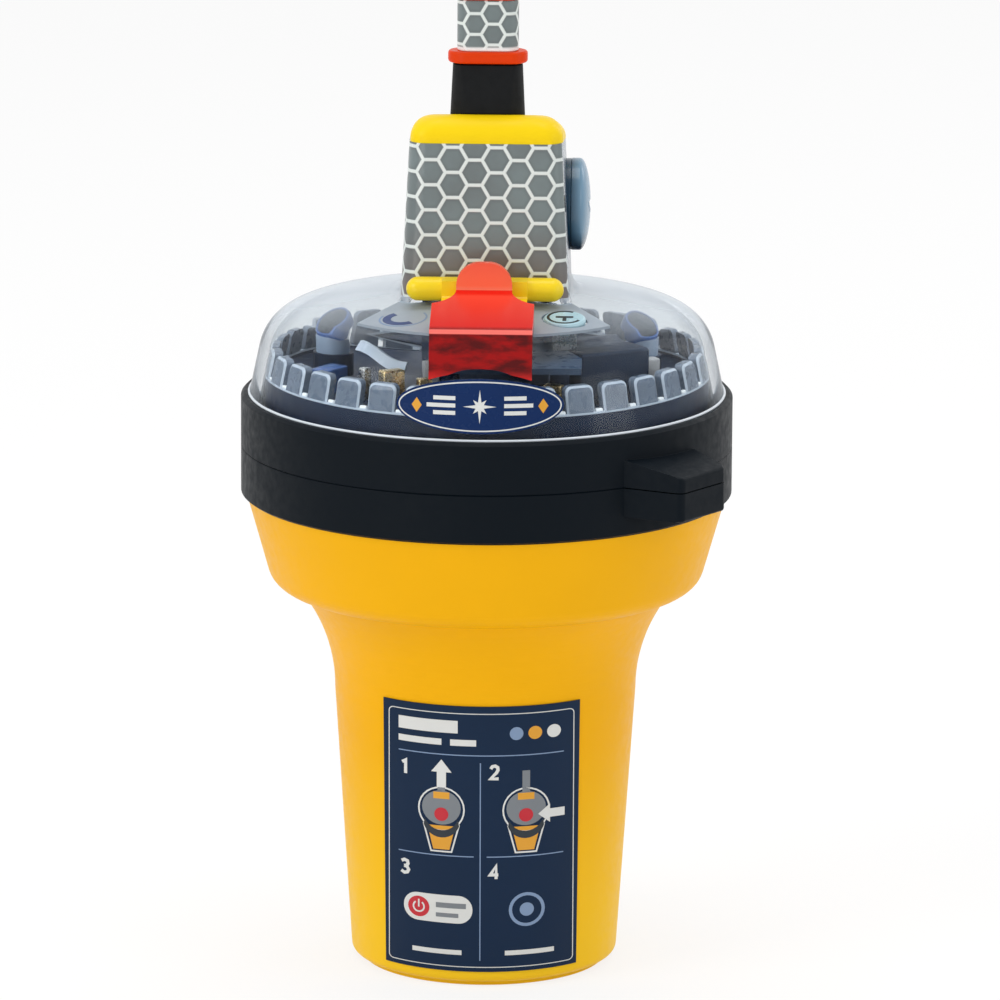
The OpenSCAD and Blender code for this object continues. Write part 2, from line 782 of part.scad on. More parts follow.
module chassis_screws() {
    color("silver") frame_screw_places() {
        translate([0, 0, -screw_r]) cylinder(r = screw_head_r, h = screw_r);
        cylinder(r = screw_r, h = chassis_top_z + frame_base_t - 0.2 - deck_z);
    }
}

// Ring of clear teeth that spreads the strobe light around the dome
module light_ring() {
    z0 = chassis_top_z;
    z1 = z0 + tooth_base_h + tooth_h;
    r0 = dome_side_r(z0, -dome_wall) - slip;
    r1 = dome_side_r(z1, -dome_wall) - slip;
    color("lightgray", 0.7) difference() {
        rotate_extrude() polygon([[r0 - tooth_t, z0], [r0, z0], [r1, z1], [r1 - tooth_t, z1]]);
        for (i = [0:teeth - 1]) rotate([0, 0, i * 360 / teeth - 90])
            translate([r0 - 2 * tooth_t, -tooth_gap / 2, z0 + tooth_base_h])
                cube([3 * tooth_t, tooth_gap, tooth_h + 1]);
    }
}

module strobe_place(s) {
    translate([s * strobe_x, 0, strobe_top_z - strobe_h]) children();
}

module strobe_lights() {
    color("whitesmoke") for (s = [-1, 1]) strobe_place(s) {
        cylinder(d = strobe_d, h = strobe_h - 0.6);
        cylinder(d = strobe_d - 2, h = strobe_h);
    }
}

module strobe_lenses() {
    color("#1c3040") for (s = [-1, 1]) strobe_place(s) difference() {
        union() {
            translate([0, 0, strobe_h]) rotate([0, s * strobe_lean, 0])
                cylinder(d1 = strobe_d + 0.6, d2 = strobe_d - 1, h = 1.6);
            translate([0, 0, strobe_h]) cylinder(d = strobe_d - 2, h = 1);
        }
        translate([0, 0, -strobe_h]) cylinder(d = 2 * strobe_d, h = 2 * strobe_h);
    }
}

module satnav_antenna() {
    color("slategray") satnav_place()
        translate([0, 0, satnav_foot_h + satnav.z / 2]) cube(satnav, center = true);
}

module infrared_light() {
    body_h = 3.4;
    color("thistle") infrared_place() translate([0, 0, chassis_top_z + infrared_post_h - deck_z]) {
        cylinder(r = 1.6 * infrared_r, h = 1.2);
        cylinder(r = infrared_r, h = body_h);
        translate([0, 0, body_h]) sphere(r = infrared_r);
    }
}

// Leaf that stands on the frame's base and reaches up to the reel's flange
module feed_spring() {
    z = chassis_top_z + frame_base_t;
    foot = [feed_foot_w, 2 * feed_foot_w, feed_leaf_t];
    color("goldenrod") {
        translate([reel_w / 2 - foot.x, reel_back - foot.y / 2, z]) cube(foot);
        translate([reel_w / 2 - foot.x, reel_back - feed_leaf_t / 2, z])
            cube([foot.x + reel_flange_t, feed_leaf_t, reel_z - flange_r - z - slip]);
    }
}

// ---- Main board and battery ----

module main_board() {
    color("darkgreen") difference() {
        translate([0, 0, board_z]) cylinder(r = board_r, h = board_t);
        translate([0, 0, board_z - 1]) post_places() cylinder(r = screw_r, h = 4);
    }
}

module board_screws() {
    color("silver") translate([0, 0, board_z]) post_places() {
        cylinder(r = screw_r, h = board_t + screw_bite);
        translate([0, 0, -screw_r]) cylinder(r = screw_head_r, h = screw_r);
    }
}

module shield_cans() {
    color("silver") translate([0, 0, board_z + board_t]) {
        translate([-shield_gap - shield_big.x, -shield_big.y / 2, 0]) cube(shield_big);
        translate([shield_gap, -shield_small.y / 2, 0]) cube(shield_small);
    }
}

module leads() {
    for (s = [-1, 1]) translate([s * lead_x, lead_y, 0]) linear_extrude(rim_z) children();
}

module battery_socket() {
    color("ivory") translate([-socket.x / 2, lead_y - socket.y / 2, board_z - socket.z]) cube(socket);
}

module battery_leads() {
    color("firebrick") intersection() {
        leads() circle(r = lead_r);
        translate([-dome_r, 0, clamp_z + clamp_t])
            cube([2 * dome_r, dome_r, board_z - socket.z - clamp_z - clamp_t]);
    }
}

module cell_places() {
    for (i = [0:2]) rotate([0, 0, 90 + i * 120]) translate([cell_ring_r, 0, 0]) children();
}

module cell_row() {
    cell_places() {
        cylinder(d = cell_d, h = cell_l - 1);
        cylinder(d = cell_cap_d, h = cell_l);
    }
}

module lower_cells() {
    color("slateblue") translate([0, 0, lower_cell_z]) cell_row();
}

module upper_cells() {
    color("slateblue") translate([0, 0, upper_cell_z]) cell_row();
}

module cell_straps() {
    w = cell_cap_d;
    color("silver") for (z = [lower_strap_z, upper_strap_z]) translate([0, 0, z])
        cell_places() translate([-w / 2, -w / 2, 0]) cube([w, w, strap_t]);
}

module battery_tray() {
    color("dimgray") translate([0, 0, case_floor_z]) {
        cylinder(r = pack_r, h = tray_t);
        difference() {
            cylinder(r = pack_r, h = tray_h);
            translate([0, 0, -1]) cylinder(r = pack_r - 0.6, h = tray_h + 2);
        }
    }
}

module cell_spacer() {
    color("dimgray") translate([0, 0, spacer_z]) cylinder(r = pack_r, h = spacer_t);
}

module battery_clamp() {
    color("dimgray") translate([0, 0, clamp_z]) {
        cylinder(r = pack_r, h = clamp_t);
        for (i = [0:2]) rotate([0, 0, 30 + 120 * i]) translate([0, -clamp_arm_w / 2, 0])
            cube([spigot_r - 2 * case_wall, clamp_arm_w, clamp_t]);
        translate([-socket.x / 2, 0, 0]) cube([socket.x, lead_y + socket.y / 2, clamp_t]);
    }
}

// ---- Switches on the roof ----

module keypad() {
    side_x = tower_w / 2 + slip + 0.1;
    back_y = 11;
    fan = 46.8;
    color("darkgray") difference() {
        intersection() {
            dome_solid(keypad_t, rim_z);
            linear_extrude(roof_peak_z + 1) polygon(concat([[side_x, -back_y], [-side_x, -back_y]],
                arc(0, 0, keypad_r, -90 - fan, -90 + fan, 16)));
        }
        dome_solid(0, rim_z - 1);
        tower_block(slip, tower_foot_z - 3, tower_foot_z + 4);
        key_wells();
    }
}

module button(x, y, d) {
    edge = 0.3;
    stem_end = switch_top + button_travel + 0.2;
    on_roof(x, y) {
        translate([0, 0, button_h - edge]) cylinder(d1 = d, d2 = d - 2 * edge, h = edge);
        translate([0, 0, -0.2]) cylinder(d = d, h = button_h + 0.2 - edge);
        translate([0, 0, stem_end]) cylinder(r = stem_r, h = -stem_end);
    }
}

module on_button() {
    color("red") button(0, on_y, on_d);
}

module test_button() {
    color("lightblue") button(test_x, test_y, test_d);
}

// Sliding cover: a cross-bar on the tower's front and a plate over the on button
module key_cover() {
    rail = 0.8;
    rail_foot = keypad_t + slip;
    plate_top = cover_lift + cover_t;
    crest_y = bar_y + bar_d / 2 + 0.8;
    color("gold") {
        translate([0, -bar_y, bar_z]) rotate([0, 90, 0]) {
            cylinder(d = bar_d, h = bar_w - bar_d, center = true);
            for (s = [-1, 1]) translate([0, 0, s * (bar_w - bar_d) / 2]) sphere(d = bar_d);
        }
        side_extrude(cover_w, [[bar_y, bar_z + bar_d / 2], [crest_y, bar_z + bar_d / 2 - 0.2],
            [crest_y + 0.1, roof_z(crest_y, plate_top) + 0.2],
            [crest_y + 0.4, roof_z(crest_y + 0.4, plate_top)],
            [cover_front, roof_z(cover_front, plate_top)],
            [cover_front, roof_z(cover_front, cover_lift)], [bar_y, roof_z(bar_y, cover_lift)]]);
        for (s = [-1, 1]) translate([s * (cover_w - rail) / 2, 0, 0])
            side_extrude(rail, [[crest_y, roof_z(crest_y, cover_lift + 0.1)],
                [cover_front, roof_z(cover_front, cover_lift + 0.1)],
                [cover_front, roof_z(cover_front, rail_foot)],
                [crest_y, roof_z(crest_y, rail_foot)]]);
    }
}

// Half of the safety tab's plan: a narrow tongue that widens into the hood
function tab_half_plan() = let (w = tongue_w / 2, y = tongue_y + tongue_t,
    turn = acos(1 - (hood_w / 2 - w) / hood_shoulder_r))
    concat([[w, tongue_y - 1]],
        [for (p = arc(w + hood_shoulder_r, y, hood_shoulder_r, 180, 180 - turn, 8)) p],
        [[hood_w / 2, lip_y + 1]]);

module safety_tab() {
    tip_z = roof_z(tongue_y) + tongue_h;
    front_y = tongue_y + tongue_t;
    half = tab_half_plan();
    color("red", 0.8) difference() {
        intersection() {
            side_extrude(hood_w, [[tongue_y, tip_z], [front_y, tip_z],
                [front_y, roof_z(front_y, hood_h)], [nose_y, roof_z(nose_y, nose_h)],
                [lip_y, hood_foot_z], [tongue_y, hood_foot_z]]);
            mirror([0, 1, 0]) linear_extrude(tip_z + 1)
                polygon(concat(half, flip([for (p = half) [-p.x, p.y]])));
            tongue_tip(tip_z);
        }
        side_extrude(hood_w - 2 * hood_wall, [[tongue_y - 1, roof_z(tongue_y - 1, hood_h - hood_wall)],
            [nose_y - hood_wall, roof_z(nose_y - hood_wall, nose_h - hood_wall)],
            [lip_y - hood_wall, hood_foot_z], [lip_y - hood_wall, rim_z], [tongue_y - 1, rim_z]]);
        dome_solid(keypad_t + slip, rim_z);
        translate([0, -lip_y - 1, hood_foot_z + arch_rise - hood_arch_r]) rotate([-90, 0, 0])
            cylinder(r = hood_arch_r, h = lip_y - nose_y + hood_wall + 1);
    }
}

// Region under the tongue's rounded tip; it is wide open lower down
module tongue_tip(tip_z) {
    r = tongue_w * 0.42;
    translate([0, -100, 0]) rotate([-90, 0, 0]) mirror([0, 1, 0]) linear_extrude(100) {
        translate([-hood_w, 0]) square([2 * hood_w, tip_z - r]);
        translate([-tongue_w / 2 + r, 0]) square([tongue_w - 2 * r, tip_z]);
        for (s = [-1, 1]) translate([s * (tongue_w / 2 - r), tip_z - r]) circle(r = r);
    }
}

// Oval plate on the dome's front, bent to the dome
module badge() {
    oval_w = 30.2;
    oval_h = 9.6;
    mid_z = rim_z + 6.2;
    color("midnightblue") difference() {
        intersection() {
            dome_solid(skin_t, rim_z);
            translate([0, 0, mid_z]) rotate([90, 0, 0]) linear_extrude(60)
                polygon([for (i = [0:71]) let (a = i * 5) [oval_w / 2 * cos(a), oval_h / 2 * sin(a)]]);
        }
        dome_solid(0, rim_z - 1);
    }
}

// ---- Antenna, which slides out of the tower, and its reel ----

module stop_ring() {
    color("orangered") translate([0, tab_y, stop_z]) difference() {
        pill(boot_w + 0.6, boot_d - 2, stop_h);
        translate([0, 0, -1]) pill(blade_w + 0.8, blade_bow + 1, 2);
    }
}

module pull_sleeve() {
    color("gray") translate([0, tab_y, sleeve_z]) pill(sleeve_w, sleeve_d, sleeve_h);
}

module pull_grip() {
    color("orangered") translate([0, tab_y, grip_z]) {
        pill(sleeve_w + 0.8, sleeve_d + 0.8, 1.4);
        translate([0, 2.1, 0]) rotate([90, 0, 0]) linear_extrude(4.2) {
            translate([-sleeve_w / 2, 0]) square([sleeve_w, grip_h - sleeve_w / 2 + 1]);
            intersection() {
                translate([0, grip_h - sleeve_w / 2 - 1]) circle(d = sleeve_w + 2);
                translate([-sleeve_w / 2, 0]) square([sleeve_w, grip_h]);
            }
        }
    }
}

module antenna_blade() {
    half = asin(blade_w / 2 / blade_curve);
    cy = blade_y - blade_bow + blade_curve;
    color("dimgray") translate([0, 0, reel_z]) linear_extrude(stop_z + 1 - reel_z) polygon(concat(
        arc(0, cy, blade_curve, -90 - half, -90 + half, 16),
        flip(arc(0, cy, blade_curve - blade_t, -90 - half, -90 + half, 16))));
}

module reel() {
    color("gray") translate([0, reel_back, reel_z]) rotate([0, 90, 0]) difference() {
        union() {
            cylinder(r = core_r, h = reel_w + 2 * reel_flange_t, center = true);
            for (s = [-1, 1]) translate([0, 0, s * (reel_w + reel_flange_t) / 2])
                cylinder(r = flange_r, h = reel_flange_t, center = true);
        }
        cylinder(r = axle_r, h = 4 * reel_w, center = true);
    }
}

module antenna_coil() {
    color("dimgray") translate([0, reel_back, reel_z]) rotate([0, 90, 0]) difference() {
        cylinder(r = coil_r, h = blade_w, center = true);
        cylinder(r = core_r, h = 2 * blade_w, center = true);
    }
}

module reel_axle() {
    color("silver") translate([axle_left_x, reel_back, reel_z]) rotate([0, 90, 0])
        cylinder(r = axle_r, h = knob_in_x() + 2 - axle_left_x);
}

function knob_in_x() = tower_half_w(reel_z - knob_d / 2) + slip;

module rewind_knob() {
    edge = 0.8;
    slot_w = 2.2;
    color("steelblue", 0.8) translate([knob_in_x(), reel_back, reel_z]) rotate([0, 90, 0]) difference() {
        rotate_extrude() polygon(concat([[0, 0], [knob_d / 2 - edge, 0], [knob_d / 2, edge]],
            [[knob_d / 2, knob_t - 2 * edge]],
            arc(knob_d / 2 - 2 * edge, knob_t - 2 * edge, 2 * edge, 0, 80, 5), [[0, knob_t]]));
        translate([0, 0, -1]) cylinder(r = axle_r, h = 3);
        translate([-slot_w / 2, -knob_d / 2 + 3, knob_t - 1]) cube([slot_w, knob_d - 6, 2]);
    }
}

lower_case();
collar_lower();
collar_upper();
lanyard_eye();
seal_ring();
dome();
tower_cap();
reflective_tape();
antenna_boot();
reel_frame();
reel_bushes();
chassis();
chassis_screws();
light_ring();
main_board();
board_screws();
shield_cans();
battery_socket();
battery_leads();
battery_tray();
lower_cells();
cell_spacer();
upper_cells();
battery_clamp();
cell_straps();
satnav_antenna();
strobe_lights();
strobe_lenses();
infrared_light();
feed_spring();
key_board();
key_switches();
keypad();
badge();
case_label();
water_contacts();
contact_nuts();
pull_grip();
pull_sleeve();
stop_ring();
antenna_blade();
reel();
reel_axle();
antenna_coil();
rewind_knob();
key_cover();
safety_tab();
on_button();
test_button();
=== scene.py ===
"""Looks of the emergency position beacon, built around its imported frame. Sizes are in mm, times MM where
Blender takes metres; the camera and the lamps are placed in metres."""
from math import asin, ceil, cos, degrees, dist, floor, hypot, pi, radians, sin, sqrt, tan

import bmesh
import bpy
from mathutils import Matrix, Vector
from mathutils.bvhtree import BVHTree


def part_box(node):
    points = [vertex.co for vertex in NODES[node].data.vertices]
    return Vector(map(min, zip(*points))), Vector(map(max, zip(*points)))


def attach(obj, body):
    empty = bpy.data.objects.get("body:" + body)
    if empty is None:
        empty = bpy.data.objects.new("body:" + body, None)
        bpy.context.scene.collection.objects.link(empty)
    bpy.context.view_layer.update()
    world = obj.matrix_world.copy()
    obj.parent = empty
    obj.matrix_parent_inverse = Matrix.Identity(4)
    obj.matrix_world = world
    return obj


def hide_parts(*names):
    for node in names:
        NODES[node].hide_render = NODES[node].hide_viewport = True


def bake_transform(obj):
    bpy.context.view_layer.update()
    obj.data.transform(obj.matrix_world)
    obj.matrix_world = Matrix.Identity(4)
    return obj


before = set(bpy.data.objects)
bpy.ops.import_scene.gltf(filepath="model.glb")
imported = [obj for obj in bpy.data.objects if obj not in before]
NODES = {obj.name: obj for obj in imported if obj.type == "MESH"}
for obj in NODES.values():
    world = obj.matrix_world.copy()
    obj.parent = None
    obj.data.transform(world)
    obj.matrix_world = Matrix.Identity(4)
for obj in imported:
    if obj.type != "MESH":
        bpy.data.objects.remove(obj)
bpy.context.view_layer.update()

MM = 0.001
scene = bpy.context.scene

# Sizes of the dome and the tower, in mm and degrees
RIM_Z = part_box("collar_upper")[1].z / MM
DOME_R, DOME_DRAFT, DOME_SHOULDER, DOME_RISE, ROOF_SLOPE, DOME_WALL = 43.9, 12, 9.5, 6.7, 8.8, 2.0
DOME_SEAT = 3.5
DRAFT, SLOPE = radians(DOME_DRAFT), radians(ROOF_SLOPE)
SHOULDER_Z = RIM_Z + DOME_RISE
SHOULDER_R = (DOME_R - (DOME_RISE + DOME_SHOULDER * sin(DRAFT)) * tan(DRAFT)
              - DOME_SHOULDER * cos(DRAFT))
ROOF_FALL = tan(SLOPE)
ROOF_PEAK = (SHOULDER_Z + DOME_SHOULDER * cos(SLOPE)
             + (SHOULDER_R + DOME_SHOULDER * sin(SLOPE)) * ROOF_FALL)
TOWER_W, TOWER_TOP_W, TOWER_D, TOWER_TOP_D, TOWER_ROUND = 30.9, 27.9, 25.0, 23.6, 3.2
CAP_H, SEAM_FALL = 4.8, tan(radians(9.8))
TOWER_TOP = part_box("tower_cap")[1].z / MM - CAP_H
TOWER_FOOT = ROOF_PEAK - TOWER_W / 2 * ROOF_FALL
TAPE_T = 0.2


def middle(node):
    """Middle of a node's box and its size, in mm."""
    low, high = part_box(node)
    return (low + high) / 2 / MM, (high - low) / MM


REEL_Y, REEL_Z = middle("rewind_knob")[0][1:]
# Middle across, distance in front of the axis, and radius of each button
BUTTONS = {name: (middle(name)[0].x, -middle(name)[0].y, middle(name)[1].x / 2)
           for name in ("on_button", "test_button")}


# ---- Camera, lights and stage ----

CAMERA_ROLL = 0.3


def look_at(obj, target):
    direction = Vector(target) - obj.location
    obj.rotation_euler = direction.to_track_quat("-Z", "Y").to_euler()


def add_camera():
    azimuth, elevation, distance = radians(1.7), radians(12.56), 1.5
    target = Vector((0, 0, 0.095))
    data = bpy.data.cameras.new("camera")
    data.sensor_width = 36
    data.lens = 291.2
    data.shift_x = 0.0135
    data.shift_y = -0.0422
    data.clip_end = 50
    camera = bpy.data.objects.new("camera", data)
    scene.collection.objects.link(camera)
    level = distance * cos(elevation)
    offset = (level * sin(azimuth), -level * cos(azimuth), distance * sin(elevation))
    camera.location = target + Vector(offset)
    look_at(camera, target)
    camera.rotation_euler.rotate_axis("Z", radians(CAMERA_ROLL))
    scene.camera = camera


def add_lamp(name, place, size, power, target=(0, 0, 0.1)):
    data = bpy.data.lights.new(name, "AREA")
    data.shape = "RECTANGLE"
    data.size, data.size_y = size
    data.energy = power
    lamp = bpy.data.objects.new(name, data)
    scene.collection.objects.link(lamp)
    lamp.location = place
    look_at(lamp, target)


def add_lamps():
    add_lamp("key_lamp", (-1.1, -0.75, 0.95), (0.7, 0.7), 6.4)
    add_lamp("fill_lamp", (1.25, -0.55, 0.5), (0.6, 0.9), 3.4)
    add_lamp("top_lamp", (0.0, 0.1, 1.3), (0.9, 0.7), 5.4)
    add_lamp("rim_lamp", (0.9, 0.9, 0.7), (0.4, 0.8), 1.6)
    add_lamp("low_lamp", (-0.7, -1.1, 0.04), (0.8, 0.3), 2.5, (0, 0, 0.01))


def seen_rays(tree):
    """1 for rays from the camera, a mirror or glass, otherwise 0."""
    path = tree.nodes.new("ShaderNodeLightPath")
    total = path.outputs["Is Camera Ray"]
    for name in ("Is Glossy Ray", "Is Transmission Ray"):
        either = tree.nodes.new("ShaderNodeMath")
        either.operation = "MAXIMUM"
        tree.links.new(total, either.inputs[0])
        tree.links.new(path.outputs[name], either.inputs[1])
        total = either.outputs[0]
    return total


def add_world():
    """Even soft light; what camera, mirror and glass rays see of it is plain white."""
    world = bpy.data.worlds.new("studio")
    world.use_nodes = True
    tree = world.node_tree
    strength = tree.nodes.new("ShaderNodeMapRange")
    strength.inputs["To Min"].default_value = 0.5
    strength.inputs["To Max"].default_value = 1.0
    tree.links.new(seen_rays(tree), strength.inputs["Value"])
    tree.links.new(strength.outputs[0], tree.nodes["Background"].inputs["Strength"])
    tree.nodes["Background"].inputs["Color"].default_value = (1, 1, 1, 1)
    scene.world = world


# ---- Meshes ----

def add_object(name, mesh, material=None):
    piece = bpy.data.objects.new(name, mesh)
    scene.collection.objects.link(piece)
    if material:
        mesh.materials.append(material)
    return piece


def from_bmesh(name, bm, material=None, sharp=35):
    bmesh.ops.recalc_face_normals(bm, faces=bm.faces)
    mesh = bpy.data.meshes.new(name)
    bm.to_mesh(mesh)
    bm.free()
    mesh.shade_smooth()
    mesh.set_sharp_from_angle(angle=radians(sharp))
    return add_object(name, mesh, material)


def place_piece(piece, body, slot, *nodes):
    """Puts a piece on a body; the slot is not used. It stands in for the nodes named last."""
    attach(piece, body)
    if nodes:
        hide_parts(*nodes)


def rounded_copy(node, name, width, material, outside=None):
    """A copy of a CAD node with bevelled corners; outside is (radius, width, level), for corners beyond the
    radius that don't lie on that level. All in mm."""
    sharp, level_gap = 32, 0.6
    bm = bmesh.new()
    bm.from_mesh(NODES[node].data)
    bmesh.ops.remove_doubles(bm, verts=bm.verts, dist=0.002 * MM)
    bmesh.ops.dissolve_limit(bm, angle_limit=radians(0.4), verts=bm.verts, edges=bm.edges)
    for radius, soft, level in ([outside] if outside else []) + [(0, width, -1)]:
        corners = [e for e in bm.edges
                   if len(e.link_faces) == 2 and e.calc_face_angle() > radians(sharp)
                   and min(v.co.xy.length for v in e.verts) >= radius * MM
                   and max(abs(v.co.z - level * MM) for v in e.verts) > level_gap * MM]
        bmesh.ops.bevel(bm, geom=corners, offset=soft * MM, offset_type="OFFSET", segments=3,
                        profile=0.5, affect="EDGES", clamp_overlap=True)
    piece = from_bmesh(name, bm, material, sharp + 8)
    normals = piece.modifiers.new("normals", "WEIGHTED_NORMAL")
    normals.keep_sharp = True
    return piece


def lathe(name, profile, material, steps=96, axis="Z", centre=(0, 0, 0)):
    """Turns (radius, height) points about an axis through the centre, which is in metres."""
    bm = bmesh.new()
    rows = []
    for k in range(steps):
        a = 2 * pi * k / steps
        rows.append([bm.verts.new((r * cos(a) * MM, r * sin(a) * MM, z * MM))
                     for r, z in profile])
    for k in range(steps):
        near, far = rows[k], rows[(k + 1) % steps]
        for i in range(len(profile) - 1):
            bm.faces.new((near[i], far[i], far[i + 1], near[i + 1]))
    bmesh.ops.remove_doubles(bm, verts=bm.verts, dist=1e-7)
    turn = Matrix.Rotation(pi / 2, 4, "Y") if axis == "X" else Matrix.Identity(4)
    bmesh.ops.transform(bm, verts=bm.verts, matrix=Matrix.Translation(centre) @ turn)
    return from_bmesh(name, bm, material)


def arc(cx, cy, r, start, end, steps):
    """Points on an arc, in degrees."""
    return [(cx + r * cos(radians(start + (end - start) * k / steps)),
             cy + r * sin(radians(start + (end - start) * k / steps))) for k in range(steps + 1)]


def rounded_rect(half_w, half_d, r, steps):
    """Outline of a rectangle with round corners, anticlockwise from the lower right."""
    x, y = half_w - r, half_d - r
    return (arc(x, -y, r, -90, 0, steps) + arc(x, y, r, 0, 90, steps)
            + arc(-x, y, r, 90, 180, steps) + arc(-x, -y, r, 180, 270, steps))


def loft(name, rings, material, sharp=35, closed=False):
    """Skin through rings of equally many (x, y, z) points, capped at both ends or closed on itself."""
    bm = bmesh.new()
    rows = [[bm.verts.new(Vector(p) * MM) for p in ring] for ring in rings]
    for low, high in zip(rows, rows[1:] + rows[:1] if closed else rows[1:]):
        for i in range(len(low)):
            j = (i + 1) % len(low)
            bm.faces.new((low[i], low[j], high[j], high[i]))
    if not closed:
        bm.faces.new(rows[0])
        bm.faces.new(rows[-1])
    bmesh.ops.remove_doubles(bm, verts=bm.verts, dist=1e-7)
    return from_bmesh(name, bm, material, sharp)


# ---- Materials ----

def srgb(r, g, b):
    """Linear colour of an 8-bit screen colour."""
    def linear(c):
        c = c / 255
        return c / 12.92 if c <= 0.04045 else ((c + 0.055) / 1.055) ** 2.4
    return (linear(r), linear(g), linear(b), 1)


class Finish:
    """A material with one Principled shader and the nodes that feed it."""

    def __init__(self, name, colour, rough=0.4, **sockets):
        self.material = bpy.data.materials.new(name)
        self.material.use_nodes = True
        self.tree = self.material.node_tree
        self.shader = self.tree.nodes["Principled BSDF"]
        self.set("Base Color", colour)
        self.set("Roughness", rough)
        for key, value in sockets.items():
            self.set(key.replace("_", " "), value)
        coords = self.tree.nodes.new("ShaderNodeTexCoord")
        scale = self.add("ShaderNodeVectorMath", operation="SCALE")
        self.link(coords.outputs["Object"], scale.inputs[0])
        scale.inputs["Scale"].default_value = 1 / MM
        self.place = scale.outputs[0]

    def set(self, socket, value):
        self.feed(self.shader.inputs[socket], value)

    def feed(self, socket, value):
        if isinstance(value, bpy.types.NodeSocket):
            self.tree.links.new(value, socket)
        else:
            socket.default_value = value

    def link(self, output, socket):
        self.tree.links.new(output, socket)

    def add(self, kind, **settings):
        node = self.tree.nodes.new(kind)
        for key, value in settings.items():
            setattr(node, key, value)
        return node

    def math(self, operation, *values):
        node = self.add("ShaderNodeMath", operation=operation)
        for socket, value in zip(node.inputs, values):
            self.feed(socket, value)
        return node.outputs[0]

    def axes(self, vector=None):
        node = self.add("ShaderNodeSeparateXYZ")
        self.link(vector or self.place, node.inputs[0])
        return node.outputs[0], node.outputs[1], node.outputs[2]

    def noise(self, scale, detail=3, rough=0.5, vector=None):
        node = self.add("ShaderNodeTexNoise")
        self.link(vector or self.place, node.inputs["Vector"])
        node.inputs["Scale"].default_value = scale
        node.inputs["Detail"].default_value = detail
        node.inputs["Roughness"].default_value = rough
        return node.outputs["Fac"]

    def span(self, value, low, high, to_low=0.0, to_high=1.0):
        node = self.add("ShaderNodeMapRange")
        for socket, v in zip(node.inputs, (value, low, high, to_low, to_high)):
            self.feed(socket, v)
        return node.outputs[0]

    def mix(self, amount, first, second):
        node = self.add("ShaderNodeMix", data_type="RGBA")
        self.feed(node.inputs["Factor"], amount)
        self.feed(node.inputs[6], first)
        self.feed(node.inputs[7], second)
        return node.outputs[2]

    def ramp(self, value, stops):
        """Colours along a value; each stop is (place, colour), with places from 0 to 1."""
        node = self.add("ShaderNodeValToRGB")
        self.feed(node.inputs[0], value)
        elements = node.color_ramp.elements
        while len(elements) < len(stops):
            elements.new(1.0)
        for element, (place, colour) in zip(elements, stops):
            element.position, element.color = place, colour
        return node.outputs[0]

    def stretched(self, factors):
        """Object coordinates in mm, multiplied by a factor for each axis."""
        node = self.add("ShaderNodeVectorMath", operation="MULTIPLY")
        self.link(self.place, node.inputs[0])
        node.inputs[1].default_value = factors
        return node.outputs[0]

    def bump(self, height, distance):
        node = self.add("ShaderNodeBump")
        self.link(height, node.inputs["Height"])
        node.inputs["Distance"].default_value = distance * MM
        self.link(node.outputs[0], self.shader.inputs["Normal"])
        return node.outputs[0]

    def mix_shaders(self, share, first, second):
        """Shows the second shader instead of the first by a share from 0 to 1."""
        choose = self.add("ShaderNodeMixShader")
        for socket, output in zip(choose.inputs, (share, first, second)):
            self.link(output, socket)
        self.link(choose.outputs[0], self.tree.nodes["Material Output"].inputs["Surface"])

    def scuff(self, colour, shade=0.9, scale=0.05, rough=None, rough_span=0.08):
        """Slow changes of colour and gloss, as a moulded surface has."""
        darker = tuple(c * shade for c in colour[:3]) + (1,)
        cloud = self.noise(scale, 4)
        self.set("Base Color", self.mix(self.span(cloud, 0.35, 0.7), darker, colour))
        if rough is not None:
            fine = self.noise(scale * 12, 3)
            self.set("Roughness", self.span(fine, 0.3, 0.7, rough - rough_span, rough + rough_span))

    def grain(self, scale, distance):
        """Fine moulded grain."""
        return self.bump(self.noise(scale, 2, 0.6), distance)


def plastic(name, colour, rough=0.38, shade=0.93, grain=2.2, depth=0.012, gloss=0.5):
    """Moulded plastic; shade is its darkest tone, grain is counted per mm and depth is in mm."""
    finish = Finish(name, colour, rough, Specular_IOR_Level=gloss)
    finish.scuff(colour, shade, rough=rough)
    finish.grain(grain, depth)
    return finish.material


def case_plastic(name, colour, foot):
    """Moulded plastic, painted paler towards the foot of the case: painted light that stands in for light
    bounced up from the floor.
    """
    rough, painted_light_z, plain_z = 0.42, 1.5, 45
    finish = Finish(name, colour, rough, Specular_IOR_Level=0.12)
    finish.scuff(colour, 0.97, rough=rough)
    upper = finish.shader.inputs["Base Color"].links[0].from_socket
    _, _, z = finish.axes()
    # painted light: paler towards the foot, where bounced light from the floor falls
    finish.set("Base Color", finish.mix(finish.span(z, painted_light_z, plain_z), foot, upper))
    finish.grain(1.6, 0.012)
    return finish.material


def metal(name, colour, rough=0.28):
    """Metal with fine brushed lines."""
    finish = Finish(name, colour, rough, Metallic=1.0)
    finish.scuff(colour, 0.86, 0.2, rough, 0.06)
    finish.bump(finish.noise(1.5, 2, vector=finish.stretched((1, 1, 14))), 0.006)
    return finish.material


def clear(name, colour, rough, ior):
    finish = Finish(name, colour, rough, IOR=ior, Transmission_Weight=1.0)
    fine = finish.noise(0.9, 2)
    finish.set("Roughness", finish.span(fine, 0.3, 0.7, rough * 0.6, rough * 1.5))
    finish.bump(finish.noise(0.12, 2), 0.02)
    return finish.material


